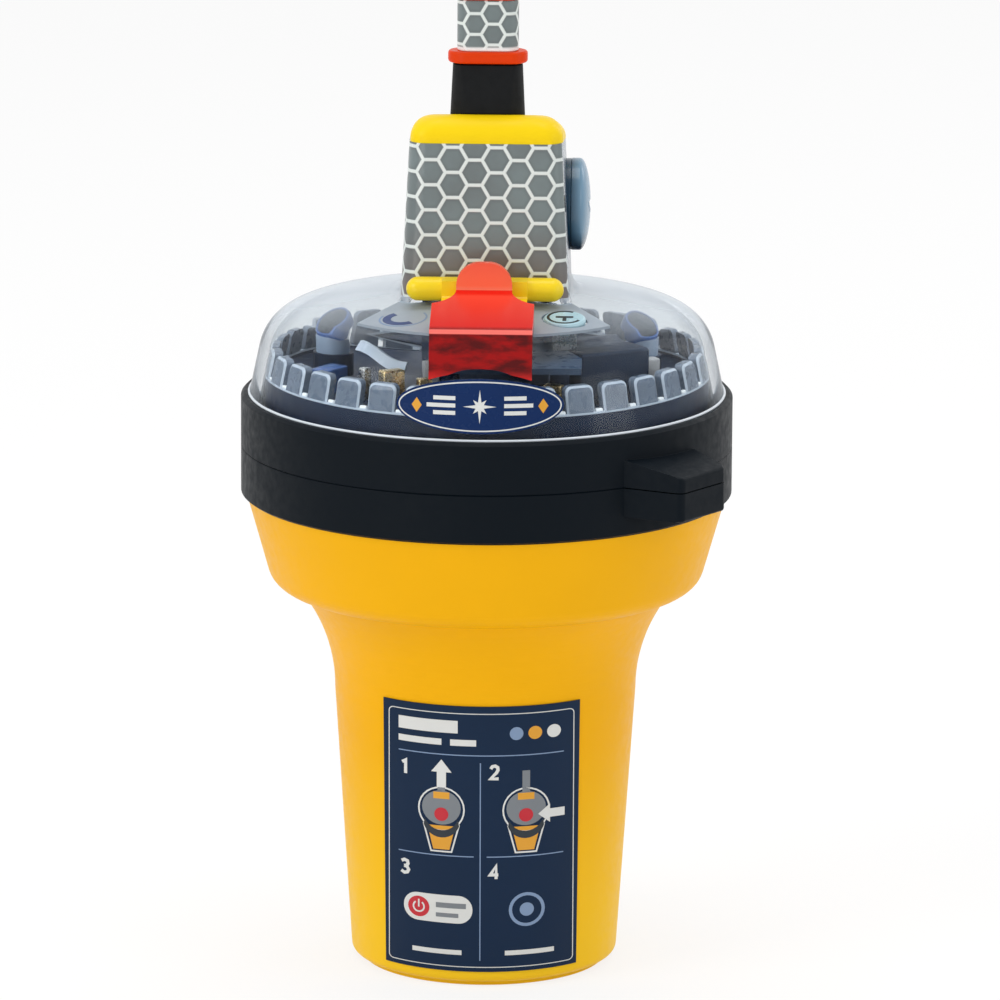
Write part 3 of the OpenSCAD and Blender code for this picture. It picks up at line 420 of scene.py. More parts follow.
def hexagons(finish, u, v, side):
    """Distance in mm from the middle of a flat-topped hexagon to the point (u, v), along its normals."""
    def lattice(shift):
        x = finish.math("WRAP", finish.math("ADD", u, 1.5 * side * shift), 1.5 * side, -1.5 * side)
        y = finish.math("WRAP", finish.math("ADD", v, height * shift), height, -height)
        ax, ay = finish.math("ABSOLUTE", x), finish.math("ABSOLUTE", y)
        slanted = finish.math("ADD", finish.math("MULTIPLY", ax, height / side),
                              finish.math("MULTIPLY", ay, 0.5))
        return finish.math("MAXIMUM", ay, slanted)

    height = side * sqrt(3) / 2
    return finish.math("MINIMUM", lattice(0), lattice(1)), height


def along_sleeve(finish, x, y):
    """Distance in mm round the flat sleeve, from the middle of its front."""
    (_, mid_y, _), (wide, deep, _) = middle("pull_sleeve")
    straight = (wide - deep) / 2
    across = finish.math("ABSOLUTE", x)
    past = finish.math("MAXIMUM", finish.math("SUBTRACT", across, straight), 0.0)
    turn = finish.math("ARCTAN2", past, finish.math("ABSOLUTE", finish.math("SUBTRACT", y, mid_y)))
    reach = finish.math("ADD", finish.math("MINIMUM", across, straight),
                        finish.math("MULTIPLY", turn, deep / 2))
    return finish.math("MULTIPLY", reach, finish.math("SIGN", x))


def reflective(name, cell_at, side, line, wrapped):
    """Grey retro-reflective film, cast in hexagonal cells with pale walls; in mm. A cell's middle is at
    cell_at, a distance round the piece and a height. Each cell is painted darker towards its walls as
    painted shade, and the sleeve has a painted highlight along its foot."""
    finish = Finish(name, srgb(120, 124, 124), 0.32, Coat_Weight=0.4, Coat_Roughness=0.15)
    x, y, z = finish.axes()
    if wrapped:
        along = finish.add("ShaderNodeAttribute", attribute_name="along").outputs["Fac"]
    else:
        along = along_sleeve(finish, x, y)
    reach, height = hexagons(finish, finish.math("SUBTRACT", along, cell_at[0]),
                             finish.math("SUBTRACT", z, cell_at[1]), side)
    wall_at = height - line / 2
    wall = finish.span(reach, wall_at - 0.12, wall_at + 0.06)
    cell = finish.mix(finish.span(z, TOWER_TOP - 26, TOWER_TOP - 15), srgb(112, 102, 100),
                      srgb(112, 126, 127))
    cloud = finish.span(finish.noise(0.12, 3), 0.35, 0.65)
    cell = finish.mix(finish.math("MULTIPLY", cloud, 0.35), cell, srgb(84, 86, 86))
    # painted shade: each cell darkens towards its walls
    rim = finish.span(reach, wall_at - 0.75, wall_at - 0.1, 0, 0.3)
    film = finish.mix(wall, finish.mix(rim, cell, srgb(70, 74, 74)), srgb(228, 236, 232))
    if not wrapped:
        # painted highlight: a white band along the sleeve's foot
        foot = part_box("pull_sleeve")[0].z / MM
        film = finish.mix(finish.span(z, foot + 1.0, foot + 0.6), film, srgb(245, 246, 244))
    finish.set("Base Color", film)
    finish.bump(wall, 0.05)
    return finish.material


def hazy(name, tint, haze):
    """Clear plastic whose skin scatters a little light, more where it is seen at a flat angle; its haze is
    painted darker on steep walls than where it lies flat, as painted shade.
    """
    least, most, from_facing = 0.004, 0.68, 0.6
    painted_wall_shade, wall_nz, roof_nz = 0.5, 0.4, 0.98
    finish = Finish(name, tint, 0.04, IOR=1.04, Transmission_Weight=1.0, Coat_Weight=0.16,
                    Coat_Roughness=0.05, Coat_IOR=1.5)
    normal = finish.bump(finish.noise(0.12, 2), 0.015)
    milk = finish.add("ShaderNodeBsdfPrincipled")
    geometry = finish.add("ShaderNodeNewGeometry")
    _, _, nz = finish.axes(geometry.outputs["True Normal"])
    # painted shade: steep walls take the haze at half its colour
    side = tuple(c * painted_wall_shade for c in haze[:3]) + (1,)
    lying = finish.span(finish.math("ABSOLUTE", nz), wall_nz, roof_nz)
    finish.link(finish.mix(lying, side, haze), milk.inputs["Base Color"])
    milk.inputs["Roughness"].default_value = 0.35
    milk.inputs["Specular IOR Level"].default_value = 0.2
    finish.link(normal, milk.inputs["Normal"])
    edge = finish.add("ShaderNodeLayerWeight")
    share = finish.span(edge.outputs["Facing"], from_facing, 1.0, least, most)
    finish.mix_shaders(share, finish.shader.outputs[0], milk.outputs[0])
    return finish.material


def knob_plastic(name, colour, inner, foot):
    """Tinted plastic, darker beside the tower, with painted shade towards its lower edge."""
    rough = 0.22
    finish = Finish(name, colour, rough, Specular_IOR_Level=0.4)
    finish.scuff(colour, 0.8, 0.15, rough, 0.05)
    x, _, z = finish.axes()
    (near, _, _), (thick, _, d) = middle("rewind_knob")
    near, low = near - thick / 2, REEL_Z - d / 2
    shade = finish.mix(finish.span(x, near - 0.3, near + 1.5), inner, colour)
    # painted shade: the colour darkens towards the knob's lower edge
    finish.set("Base Color", finish.mix(finish.span(z, low + 0.6, low + 4.6, 1.0, 0.0), shade, foot))
    finish.bump(finish.noise(0.3, 2), 0.02)
    return finish.material


def red_plastic(name, colour, depth):
    """Translucent red: coral where it lies flat and a mottled dark red where it hangs in front, partly the
    plastic's own tones and partly painted light and shade; painted highlight lines run along the nose and
    above the crease.
    """
    finish = Finish(name, colour, 0.24, Specular_IOR_Level=0.2)
    _, _, z = finish.axes()
    nose, (foot, top) = z_of_nose(), (corner.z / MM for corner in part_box("safety_tab"))
    crease, low = top - 5.1 - nose, nose - 1.2
    clouds = finish.noise(0.34, 5, 0.55, finish.stretched((0.6, 0.6, 1.5)))
    dark = finish.mix(finish.span(clouds, 0.38, 0.62), srgb(84, 0, 2), srgb(158, 4, 5))
    dark = finish.mix(finish.span(z, foot + 1.8, foot + 0.2, 0, 0.7), dark, srgb(214, 40, 36))
    # Heights above the nose in mm, and colours: the nose with its painted highlight line, the hood, and the
    # tongue behind its crease with a painted highlight just above it
    stops = [(-0.95, (170, 6, 6)), (-0.8, (255, 122, 112)), (-0.12, (255, 122, 112)),
             (0.02, (150, 8, 6)), (0.25, (226, 26, 18)),
             (crease - 0.5, (250, 72, 52)), (crease - 0.25, (236, 22, 8)), (crease, (236, 22, 8)),
             (crease + 0.12, (255, 140, 106)), (crease + 0.9, (254, 116, 78)), (top - nose, (244, 98, 70))]
    flat = finish.ramp(finish.span(z, low, top),
                       [((h + nose - low) / (top - low), srgb(*rgb)) for h, rgb in stops])
    # the hanging front takes the mottled dark red, partly painted shade
    finish.set("Base Color", finish.mix(finish.span(z, nose - 0.8, nose - 1.0), flat, dark))
    finish.bump(finish.noise(0.35, 3), depth)
    return finish.material


def z_of_nose():
    """Height of the front corner of the safety tab's hood, in mm."""
    hood = 3.2
    mesh = NODES["safety_tab"].data
    front = min(v.co.y for v in mesh.vertices)
    return max(v.co.z for v in mesh.vertices if v.co.y < front + hood * MM) / MM


# Plastics: name, 8-bit colour, roughness, darkest shade, grain per mm, its depth in mm, and gloss
PLASTICS = {
    "cap_yellow": ("cap_plastic", (255, 218, 16), 0.38, 0.97, 1.6, 0.01, 0.15),
    "bar_yellow": ("bar_plastic", (255, 222, 24), 0.34, 0.98, 1.6, 0.01, 0.35),
    "navy": ("navy_plastic", (4, 13, 21), 0.48, 0.96, 1.8, 0.003, 0.1),
    "deck": ("deck_plastic", (18, 34, 58), 0.45, 0.8, 2.2, 0.012, 0.2),
    "dark": ("dark_plastic", (58, 76, 104), 0.5, 0.85, 2.2, 0.012, 0.2),
    # painted glints: pale beads between the light's teeth
    "glint": ("clear_glint", (236, 242, 246), 0.12),
    # painted highlight: the pale bead at the dome's rim
    "bead": ("dome_edge", (226, 234, 242), 0.2),
    "teeth": ("tooth_face", (92, 106, 124), 0.3, 0.85, 0.5),
    # painted highlight: the pale rims of the light's teeth and its base, also used for the pale strip on the
    # deck
    "tooth_edge": ("tooth_edge", (172, 184, 198), 0.25),
    "rubber": ("black_rubber", (15, 17, 19), 0.6, 0.8, 2.6, 0.03, 0.15),
    "orange": ("orange_plastic", (230, 62, 4), 0.36, 0.93, 2.2, 0.012, 0.12),
    "acetal": ("grey_acetal", (150, 152, 155), 0.4),
    "white": ("white_plastic", (132, 150, 172), 0.35),
    "board": ("circuit_board", (30, 92, 60), 0.35),
    "key_board": ("key_circuit", (60, 76, 98), 0.3, 0.93, 2.2, 0.012, 0.2),
    "cell": ("cell_wrap", (92, 108, 170), 0.3),
    "lead": ("lead_insulation", (170, 40, 34), 0.4),
    "slate": ("slate_ceramic", (22, 38, 60), 0.5, 0.8, 0.8, 0.03, 0.2),
    "lens": ("dark_lens", (4, 14, 26), 0.4, 0.93, 2.2, 0.012, 0.02),
    "lens_rim": ("lens_rim", (52, 84, 140), 0.2, 0.93, 2.2, 0.012, 0.2),
    "film": ("grey_film", (164, 176, 188), 0.45, 0.95, 3.0, 0.006, 0.2),
    "badge": ("badge_film", (16, 44, 92), 0.25, 0.92, 0.6, 0.004, 0.12),
    "label": ("label_film", (22, 42, 68), 0.4, 0.93, 0.8, 0.004, 0.12),
    "red_key": ("red_key", (214, 30, 30), 0.3),
    "blue_key": ("blue_key", (188, 224, 236), 0.3),
}

# Printing inks: 8-bit colour and darkest shade
INKS = {"white": ((222, 224, 222), 0.94), "grey": ((122, 128, 134), 0.9), "dark": ((22, 34, 44), 0.9),
        "navy": ((36, 62, 116), 0.94), "blue": ((126, 150, 184), 0.94), "yellow": ((226, 160, 40), 0.94),
        "red": ((196, 26, 44), 0.94)}


def make_materials():
    """All materials by the short keys that the tables and calls use."""
    made = {key: plastic(name, srgb(*colour), *looks) for key, (name, colour, *looks) in PLASTICS.items()}
    made.update({
        # the second yellow is painted light at the case's foot
        "yellow": case_plastic("yellow_plastic", srgb(249, 182, 0), srgb(255, 206, 34)),
        "dome": hazy("clear_polycarbonate", (0.842, 0.868, 0.882, 1), srgb(188, 201, 214)),
        # the knob's last colour is painted shade at its lower edge
        "knob": knob_plastic("knob_plastic", srgb(112, 148, 174), srgb(22, 62, 86), srgb(6, 18, 32)),
        "red": red_plastic("red_plastic", srgb(235, 40, 28), 0.02),
        "tape": reflective("reflective_tape", (1.95, 153.3), 2.68, 0.56, True),
        "sleeve": reflective("reflective_sleeve", (-2.3, 173.6), 2.22, 0.5, False),
        "steel": metal("stainless_steel", (0.66, 0.66, 0.65, 1)),
        "coated": metal("coated_steel", (0.10, 0.10, 0.11, 1), 0.4),
        "gold": metal("gold_plate", (0.83, 0.62, 0.3, 1)),
        "tinted": clear("tinted_lens", srgb(190, 175, 185), 0.08, 1.45),
    })
    for word, (colour, shade) in INKS.items():
        made["print_" + word] = plastic(word + "_print", srgb(*colour), 0.5, shade, 3.0, 0.002)
    return made


DRESS = {
    "yellow": ["lower_case"],
    "cap_yellow": ["tower_cap"],
    "bar_yellow": ["key_cover"],
    "navy": ["collar_lower", "collar_upper", "lanyard_eye"],
    "deck": ["chassis"],
    "dark": ["reel_frame", "battery_tray", "cell_spacer", "battery_clamp"],
    "dome": ["dome"],
    "teeth": ["light_ring"],
    "knob": ["rewind_knob"],
    "red": ["safety_tab"],
    "rubber": ["antenna_boot", "seal_ring"],
    "tape": ["reflective_tape"],
    "sleeve": ["pull_sleeve"],
    "orange": ["pull_grip", "stop_ring"],
    "steel": ["reel_axle", "chassis_screws", "board_screws", "shield_cans", "contact_nuts",
              "water_contacts", "cell_straps", "key_switches"],
    "coated": ["antenna_blade", "antenna_coil"],
    "gold": ["feed_spring"],
    "acetal": ["reel", "reel_bushes"],
    "white": ["battery_socket", "strobe_lights"],
    "board": ["main_board"],
    "key_board": ["key_board"],
    "cell": ["lower_cells", "upper_cells"],
    "lead": ["battery_leads"],
    "slate": ["satnav_antenna"],
    "lens": ["strobe_lenses"],
    "tinted": ["infrared_light"],
    "film": ["keypad"],
    "badge": ["badge"],
    "label": ["case_label"],
    "red_key": ["on_button"],
    "blue_key": ["test_button"],
}


def dress_nodes(materials):
    for key, names in DRESS.items():
        for name in names:
            slots = NODES[name].data.materials
            slots.clear()
            slots.append(materials[key])


# ---- Dome ----

def roof_z(r, grow=0.0):
    """Height of the roof's cone at a radius."""
    return ROOF_PEAK + grow / cos(SLOPE) - r * ROOF_FALL


def dome_side(z, grow=0.0):
    """Radius of the dome's drafted wall at a height."""
    return DOME_R + grow / cos(DRAFT) - (z - RIM_Z) * tan(DRAFT)


def tower_half(z):
    """Half width and half depth of the tower at a height."""
    k = (z - TOWER_FOOT) / (TOWER_TOP - TOWER_FOOT)
    return (TOWER_W + (TOWER_TOP_W - TOWER_W) * k) / 2, (TOWER_D + (TOWER_TOP_D - TOWER_D) * k) / 2


def cap_drop(y):
    """How far the seam between tower and cap has fallen at a depth: level in front, lower behind."""
    past = y + TOWER_TOP_D / 2 - 6.8
    return (past + hypot(past, 2)) / 2 * SEAM_FALL


def tower_reach(angle, z, grow=0.0):
    """Distance from the axis to the tower's side, in a direction and at a height."""
    half_w, half_d = (half + grow for half in tower_half(z))
    r = TOWER_ROUND + grow
    c, s = abs(cos(angle)), abs(sin(angle))
    x, y = half_w - r, half_d - r
    if s * half_w <= y * c:
        return half_w / c
    if c * half_d <= x * s:
        return half_d / s
    b = c * x + s * y
    return b + sqrt(b * b - x * x - y * y + r * r)


def dome_skin(grow, low, steps):
    """Rings of the dome and its tower, set out by grow, from a lower edge up to the tower's top."""
    open_r, fillet, levels = 25.0, 3.0 - grow, 12
    profile = [(dome_side(low, grow), low), (dome_side(RIM_Z, grow), RIM_Z)]
    profile += arc(SHOULDER_R, SHOULDER_Z, DOME_SHOULDER + grow, DOME_DRAFT, 90 - ROOF_SLOPE, 30)
    turns = [2 * pi * k / steps for k in range(steps)]
    rings = [[(r, z) for _ in turns] for r, z in profile]
    feet = [tower_reach(a, TOWER_FOOT + fillet, grow) + fillet for a in turns]
    for part in (0, 0.3, 0.6, 0.8, 0.92):
        reach = [open_r + (foot - open_r) * part for foot in feet]
        rings.append([(r, roof_z(r, grow)) for r in reach])
    for across, rise in arc(0, 0, 1, 0, 90, 10):
        rings.append([(foot - fillet * rise, roof_z(foot, grow) + fillet - fillet * across)
                      for foot in feet])
    ends = [z for _, z in rings[-1]]
    tops = [TOWER_TOP - cap_drop(tower_reach(a, TOWER_TOP) * sin(a)) for a in turns]
    for k in range(1, levels + 1):
        heights = [z + (top - z) * k / levels for z, top in zip(ends, tops)]
        rings.append([(tower_reach(a, z, grow), z) for a, z in zip(turns, heights)])
    return [[(r * cos(a), r * sin(a), z) for a, (r, z) in zip(turns, ring)] for ring in rings]


def cut_away(piece, cutters, sharp):
    """Cuts closed objects out of a piece and removes them."""
    for cutter in cutters:
        step = piece.modifiers.new("cut", "BOOLEAN")
        step.operation, step.object, step.solver = "DIFFERENCE", cutter, "EXACT"
    bpy.context.view_layer.update()
    mesh = bpy.data.meshes.new_from_object(piece.evaluated_get(bpy.context.evaluated_depsgraph_get()))
    piece.modifiers.clear()
    piece.data = mesh
    for cutter in cutters:
        bpy.data.objects.remove(cutter)
    mesh.shade_smooth()
    mesh.set_sharp_from_angle(angle=radians(sharp))


def roof_cutter(name, x, y, sunk, r):
    """A cylinder square to the roof's front, up from sunk mm under its skin at (x, -y)."""
    long = 8
    up = Vector((0, -sin(SLOPE), cos(SLOPE)))
    place = (Vector((x, -y, roof_z(hypot(x, y)))) - sunk * up) * MM
    piece = lathe(name, [(0, 0), (r, 0), (r, long), (0, long)], None, 48)
    piece.data.transform(Matrix.Translation(place) @ Matrix.Rotation(SLOPE, 4, "X"))
    return piece


def add_dome(material):
    """The clear moulding: a dome that turns up into the tower, with the buttons' wells."""
    seat, steps = RIM_Z - DOME_SEAT, 288
    well_sunk, well_play, stem_sunk, stem_r, axle_r, reach = 1.2, 0.3, 7, 1.8, 1.55, 20
    skin = dome_skin(0, seat, steps) + dome_skin(-DOME_WALL, seat, steps)[::-1]
    dome = loft("clear_dome", skin, material, closed=True)
    cutters = []
    for x, y, r in BUTTONS.values():
        cutters += [roof_cutter("well", x, y, well_sunk, r + well_play),
                    roof_cutter("stem_hole", x, y, stem_sunk, stem_r)]
    cutters.append(lathe("axle_hole", [(0, 0), (axle_r, 0), (axle_r, reach), (0, reach)], None, 48, "X",
                         (0, REEL_Y * MM, REEL_Z * MM)))
    cut_away(dome, cutters, 40)
    dome.visible_shadow = False
    place_piece(dome, "root", "dome", "dome")


def add_rim_bead(material):
    """Thin bead of the dome at the collar's rim, pale as a painted highlight line."""
    outline = arc(DOME_R + 0.05, RIM_Z + 0.1, 0.28, 0, 360, 12)
    place_piece(lathe("dome_bead", outline, material, 192), "root", "dome")


def add_light_ring(face, edge, glint):
    """Clear teeth with round tops on a thin base; the teeth's rims and the base are pale as painted
    highlight, and pale beads between the teeth are painted glints.
    """
    teeth, gap, base_h, tooth_h, thick, soft, corner, play = 34, 2.0, 0.4, 4.8, 1.7, 0.35, 1.1, 0.3
    foot = RIM_Z + 3.5
    outer = dome_side(foot, -DOME_WALL) - play
    inner, top = outer - thick, foot + base_h
    half_w = pi * outer / teeth - gap / 2
    outline = ([(-half_w, 0), (half_w, 0)] + arc(half_w - corner, tooth_h - corner, corner, 0, 90, 6)
               + arc(corner - half_w, tooth_h - corner, corner, 90, 180, 6))
    bm = bmesh.new()
    for k in range(teeth):
        a = 2 * pi * (k + 0.5) / teeth
        rows = []
        for depth, inset in ((thick, 0), (soft, 0), (0, soft)):
            row = []
            for w, h in outline:
                w, h = w * (1 - inset / half_w), (h if h == 0 else h - inset)
                r = outer - depth - h * tan(DRAFT)
                row.append(bm.verts.new(Vector((r * sin(a) + w * cos(a),
                                                -r * cos(a) + w * sin(a), top + h)) * MM))
            rows.append(row)
        # the second slot, each tooth's rounded rim, takes the pale edge material as painted highlight
        for near, far, slot in ((rows[0], rows[1], 0), (rows[1], rows[2], 1)):
            for i in range(len(near)):
                j = (i + 1) % len(near)
                bm.faces.new((near[i], near[j], far[j], far[i])).material_index = slot
        bm.faces.new(rows[0])
        bm.faces.new(rows[2])
    piece = from_bmesh("light_teeth", bm, face)
    piece.data.materials.append(edge)
    place_piece(piece, "root", "light_ring", "light_ring")
    # the base ring is pale too, as a painted highlight line
    lip = outer + 0.1
    section = [(inner, foot), (lip, foot), (lip, top - 0.15), (lip - 0.2, top), (inner, top), (inner, foot)]
    place_piece(lathe("light_ring_base", section, edge, 144), "root", "light_ring")
    # painted glints: pale beads at the bottoms of the gaps between the teeth
    for k in range(teeth):
        a = 2 * pi * k / teeth
        place = ((lip - 0.6) * sin(a), (0.6 - lip) * cos(a), top + 0.15)
        bead = rounded_bar("painted_glint_bead_%02d" % (k + 1), place, (gap - 0.5, 0.8, 0.7), 0.25, glint,
                           Matrix.Rotation(a, 4, "Z"))
        place_piece(bead, "root", "light_ring")


# ---- Parts that show through the dome ----

def add_strobe_lenses(glass, rim):
    """Dark lenses of the strobe lights, which lean forwards and outwards under the shoulder."""
    outwards, forwards = radians(24), radians(20)
    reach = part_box("strobe_lights")[1].x / MM - 3.5
    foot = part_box("strobe_lights")[1].z / MM + 0.6
    lens = [(0, -0.9), (2.7, -0.9), (2.9, 0.9), (1.6, 1.35), (0, 1.5)]
    holder = [(2.9, -1.0), (3.35, -0.9), (3.45, 0.6), (3.2, 1.1), (2.85, 1.15), (2.8, -0.9), (2.9, -1.0)]
    for side, word in ((-1, "left"), (1, "right")):
        lean = (Matrix.Translation(Vector((side * reach, 0, foot)) * MM)
                @ Matrix.Rotation(side * outwards, 4, "Y") @ Matrix.Rotation(forwards, 4, "X"))
        for kind, profile, material, nodes in (("lens", lens, glass, ["strobe_lenses"]),
                                               ("rim", holder, rim, [])):
            piece = lathe("strobe_%s_%s" % (kind, word), profile, material, 48)
            piece.data.transform(lean)
            place_piece(piece, "root", "strobe_lenses", *nodes)


# Small parts on the deck: middle across and along, size, turn in degrees, and material
DECK_PARTS = [(-16.5, -26.5, (4.4, 2.4, 6.4), 30, "gold"), (-10.5, -29.0, (2.6, 2.2, 5.4), 18, "gold"),
              (-21.5, -23.0, (1.8, 1.8, 6.0), 40, "steel"), (-28.5, -16.5, (7.0, 4.0, 4.6), 58, "lens_rim"),
              (30.0, -15.5, (2.6, 3.4, 6.8), -60, "acetal"), (13.0, -29.0, (3.4, 2.0, 4.6), -20, "gold"),
              (-9.5, -24.0, (3.0, 2.4, 7.6), 10, "acetal")]


def add_deck_details(materials):
    """A pale curved strip and small parts of the light circuit on the deck."""
    deck, start, step, high, fall, wave = RIM_Z + 3.2, -146, 1.6, 8.6, 0.15, 0.5
    rings = []
    for k in range(17):
        a = radians(start + step * k)
        z = deck + high - fall * k + wave * sin(radians(22 * k))
        rings.append([(r * cos(a), r * sin(a), z + h) for r, h in
                      ((28.0, -0.9), (28.5, -0.9), (27.3, 0.9), (26.8, 0.9))])
    place_piece(loft("pale_strip", rings, materials["tooth_edge"], 30), "root", "light_ring")
    for k, (x, y, size, turn, key) in enumerate(DECK_PARTS):
        part = rounded_bar("light_part_%d" % (k + 1), (x, y, deck + size[2] / 2 - 0.2), size, 0.35,
                           materials[key], Matrix.Rotation(radians(turn), 4, "Z"))
        place_piece(part, "root", "key_board")


# ---- Pieces of the tower and the antenna ----

def add_cap(material):
    """Pillow-shaped cap of the tower; its top falls from the crest in front of the boot to the back."""
    half_w, half_d = tower_half(TOWER_TOP)
    soft, crest, fall, overlap = 4.2, -7.6, tan(radians(12)), 0.04
    plug_inset, plug_depth = 2.6, 2.9

    def lowered(x, y, z):
        back = (y - crest + hypot(y - crest, 1.2)) / 2
        rise = (z - TOWER_TOP) / CAP_H
        z -= rise * back * fall + (1 - rise) * cap_drop(y)
        wide, deep = tower_half(min(z, TOWER_TOP))
        return (x * (wide + overlap) / half_w, y * (deep + overlap) / half_d, z)

    def outline(inset, widening):
        return rounded_rect(half_w - inset, half_d - inset, TOWER_ROUND + widening * inset, 8)

    rings = [[(x, y, z) for x, y in rounded_rect(half_w - plug_inset, half_d - plug_inset, 1, 8)]
             for z in (TOWER_TOP - plug_depth, TOWER_TOP)]
    rings.append([lowered(x, y, TOWER_TOP) for x, y in outline(0, 0)])
    for turn, rise in arc(0, 0, 1, 0, 90, 12):
        z = TOWER_TOP + CAP_H - soft + soft * rise
        rings.append([lowered(x, y, z) for x, y in outline(soft * (1 - turn), 0.6)])
    for k in range(1, 10):
        part = 1 - k / 10
        rings.append([lowered(x * part, y * part, TOWER_TOP + CAP_H) for x, y in outline(soft, 0.2)])
    cap = loft("pillow_cap", rings, material, 60)
    slot = lathe("boot_slot", [(0, -12), (3.4, -12), (3.4, 12), (0, 12)], None, 48)
    mid_y = middle("antenna_boot")[0].y
    slot.data.transform(Matrix.Translation(Vector((0, mid_y, TOWER_TOP)) * MM)
                        @ Matrix.Diagonal((1.75, 0.75, 1, 1)))
    cut_away(cap, [slot], 50)
    place_piece(cap, "root", "tower_cap", "tower_cap")


def add_tape(material):
    """The reflective tape, wrapped round the tower's front corners; its pattern follows the wrap."""
    low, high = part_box("reflective_tape")[0].z / MM, TOWER_TOP - 0.02
    back, wrap, levels, bends, flats = 5.0, 62, 12, 14, 6
    rings, along = [], []
    for k in range(levels + 1):
        z = low + (high - low) * k / levels
        half_w, half_d = tower_half(z)
        paths = []
        for grow in (TAPE_T, 0.01):
            r = TOWER_ROUND + grow
            x, y = half_w + grow - r, half_d + grow - r
            front = [(x * i / flats, -half_d - grow) for i in range(1 - flats, flats)]
            paths.append([(-half_w - grow, -back)] + arc(-x, -y, r, 180, 270, bends) + front
                         + arc(x, -y, r, 270, 270 + wrap, bends))
        outer, inner = paths
        marks = [0.0]
        for a, b in zip(outer, outer[1:]):
            marks.append(marks[-1] + dist(a, b))
        centre = next(m for m, p in zip(marks, outer) if abs(p[0]) < 1e-6)
        rings.append([(x, y, z) for x, y in outer + inner[::-1]])
        along += [mark - centre for mark in marks + marks[::-1]]
    tape = loft("tape_wrap", rings, material, 40)
    tape.data.attributes.new("along", "FLOAT", "POINT").data.foreach_set("value", along)
    place_piece(tape, "root", "reflective_tape", "reflective_tape")


def add_blade(material):
    """The flat spring-steel antenna; it runs from the reel to the stop ring."""
    low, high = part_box("antenna_blade")
    half_w, curve, thick, steps, levels = 4.9, 11.0, 0.35, 12, 60
    mid_y = (low.y + high.y) / 2 / MM
    bottom, top = low.z / MM + 0.5, high.z / MM - 0.2
    spread = degrees(asin(half_w / curve))
    section = (arc(0, 0, curve, -90 - spread, -90 + spread, steps)
               + arc(0, 0, curve - thick, -90 + spread, -90 - spread, steps))
    rings = [[(x, mid_y + 10.5 + y, bottom + (top - bottom) * k / levels) for x, y in section]
             for k in range(levels + 1)]
    blade = loft("blade_strip", rings, material)
    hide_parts("antenna_blade")
    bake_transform(blade)


# Nodes to soften: width of the softened corners, material and body
SOFTENED = [("collar_lower", 0.15, "navy", "root"), ("collar_upper", 0.15, "navy", "root"),
            ("lanyard_eye", 0.5, "navy", "root"), ("key_cover", 0.35, "bar_yellow", "key_cover"),
            ("safety_tab", 0.45, "red", "safety_tab"), ("antenna_boot", 0.35, "rubber", "root"),
            ("stop_ring", 0.7, "orange", "antenna"), ("pull_sleeve", 0.3, "sleeve", "antenna"),
            ("pull_grip", 0.6, "orange", "antenna"), ("satnav_antenna", 0.6, "slate", "root"),
            ("on_button", 0.25, "red_key", "on_button"), ("test_button", 0.25, "blue_key", "test_button")]

# The bracket lug lies beyond this radius; its corners are this wide, but not at the seam's level
LUG = (46.4, 0.8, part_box("collar_upper")[0].z / MM)


def dress_copies(materials):
    """Pieces whose solids have the right shape but need softened corners."""
    for node, width, key, body in SOFTENED:
        outside = LUG if node in ("collar_lower", "collar_upper") else None
        piece = rounded_copy(node, node + "_soft", width, materials[key], outside)
        place_piece(piece, body, node, node)


def add_knob(material):
    """Rewind knob: a domed disc with a finger slot, against a seat on the tower's side."""
    (x, _, _), (thick, _, d) = middle("rewind_knob")
    r, crown, axle_r, gap, sunk = d / 2, 2.0, 1.7, 0.06, 0.6
    rim_h = thick - crown
    near = x - thick / 2
    crest = [(r * cos(a), rim_h + crown * sin(a)) for a in
             (radians(8 * k) for k in range(1, 11))]
    profile = [(0, 0), (r - 0.1, 0), (r, 0.1), (r, rim_h)] + crest + [(0, thick)]
    knob = lathe("knob_disc", profile, material, 128, "X", Vector((near, REEL_Y, REEL_Z)) * MM)
    groove = rounded_bar("groove", (near + thick, REEL_Y, REEL_Z), (1.6, d - 8, 2.2), 0.7, None)
    cut_away(knob, [groove], 35)
    place_piece(knob, "reel", "rewind_knob", "rewind_knob")
    start = tower_half(REEL_Z)[0] - sunk
    reach = near - gap - start
    profile = [(axle_r, 0), (r - 0.1, 0), (r - 0.04, reach - 0.04), (r - 0.08, reach), (axle_r, reach),
               (axle_r, 0)]
    seat = lathe("knob_seat", profile, material, 96, "X", Vector((start, REEL_Y, REEL_Z)) * MM)
    place_piece(seat, "root", "rewind_knob")


def rounded_bar(name, place, size, soft, material, turn=None):
    """Box with rounded edges about a place, in mm."""
    bm = bmesh.new()
    bmesh.ops.create_cube(bm, size=1)
    bmesh.ops.scale(bm, vec=Vector(size) * MM, verts=bm.verts)
    bmesh.ops.bevel(bm, geom=bm.edges[:], offset=soft * MM, offset_type="OFFSET", segments=4, profile=0.5,
                    affect="EDGES", clamp_overlap=True)
    if turn:
        bmesh.ops.transform(bm, verts=bm.verts, matrix=turn)
    bmesh.ops.translate(bm, vec=Vector(place) * MM, verts=bm.verts)
    return from_bmesh(name, bm, material, 50)


# ---- Printed marks: plain generic signs, raised as thin film ----

def bar(x0, z0, x1, z1):
    return [[(x0, z0), (x1, z0), (x1, z1), (x0, z1)]]


def disc(x, z, r, squeeze=1.0):
    return [[(x + px, z + pz * squeeze) for px, pz in arc(0, 0, r, 0, 360, 28)[:-1]]]


def hoop(x, z, r, line, start=0, end=360):
    """Part of a ring, line wide, between two angles in degrees."""
    steps = 28
    outer, inner = (arc(x, z, r + side * line / 2, start, end, steps) for side in (1, -1))
    return [[outer[i], outer[i + 1], inner[i + 1], inner[i]] for i in range(steps)]


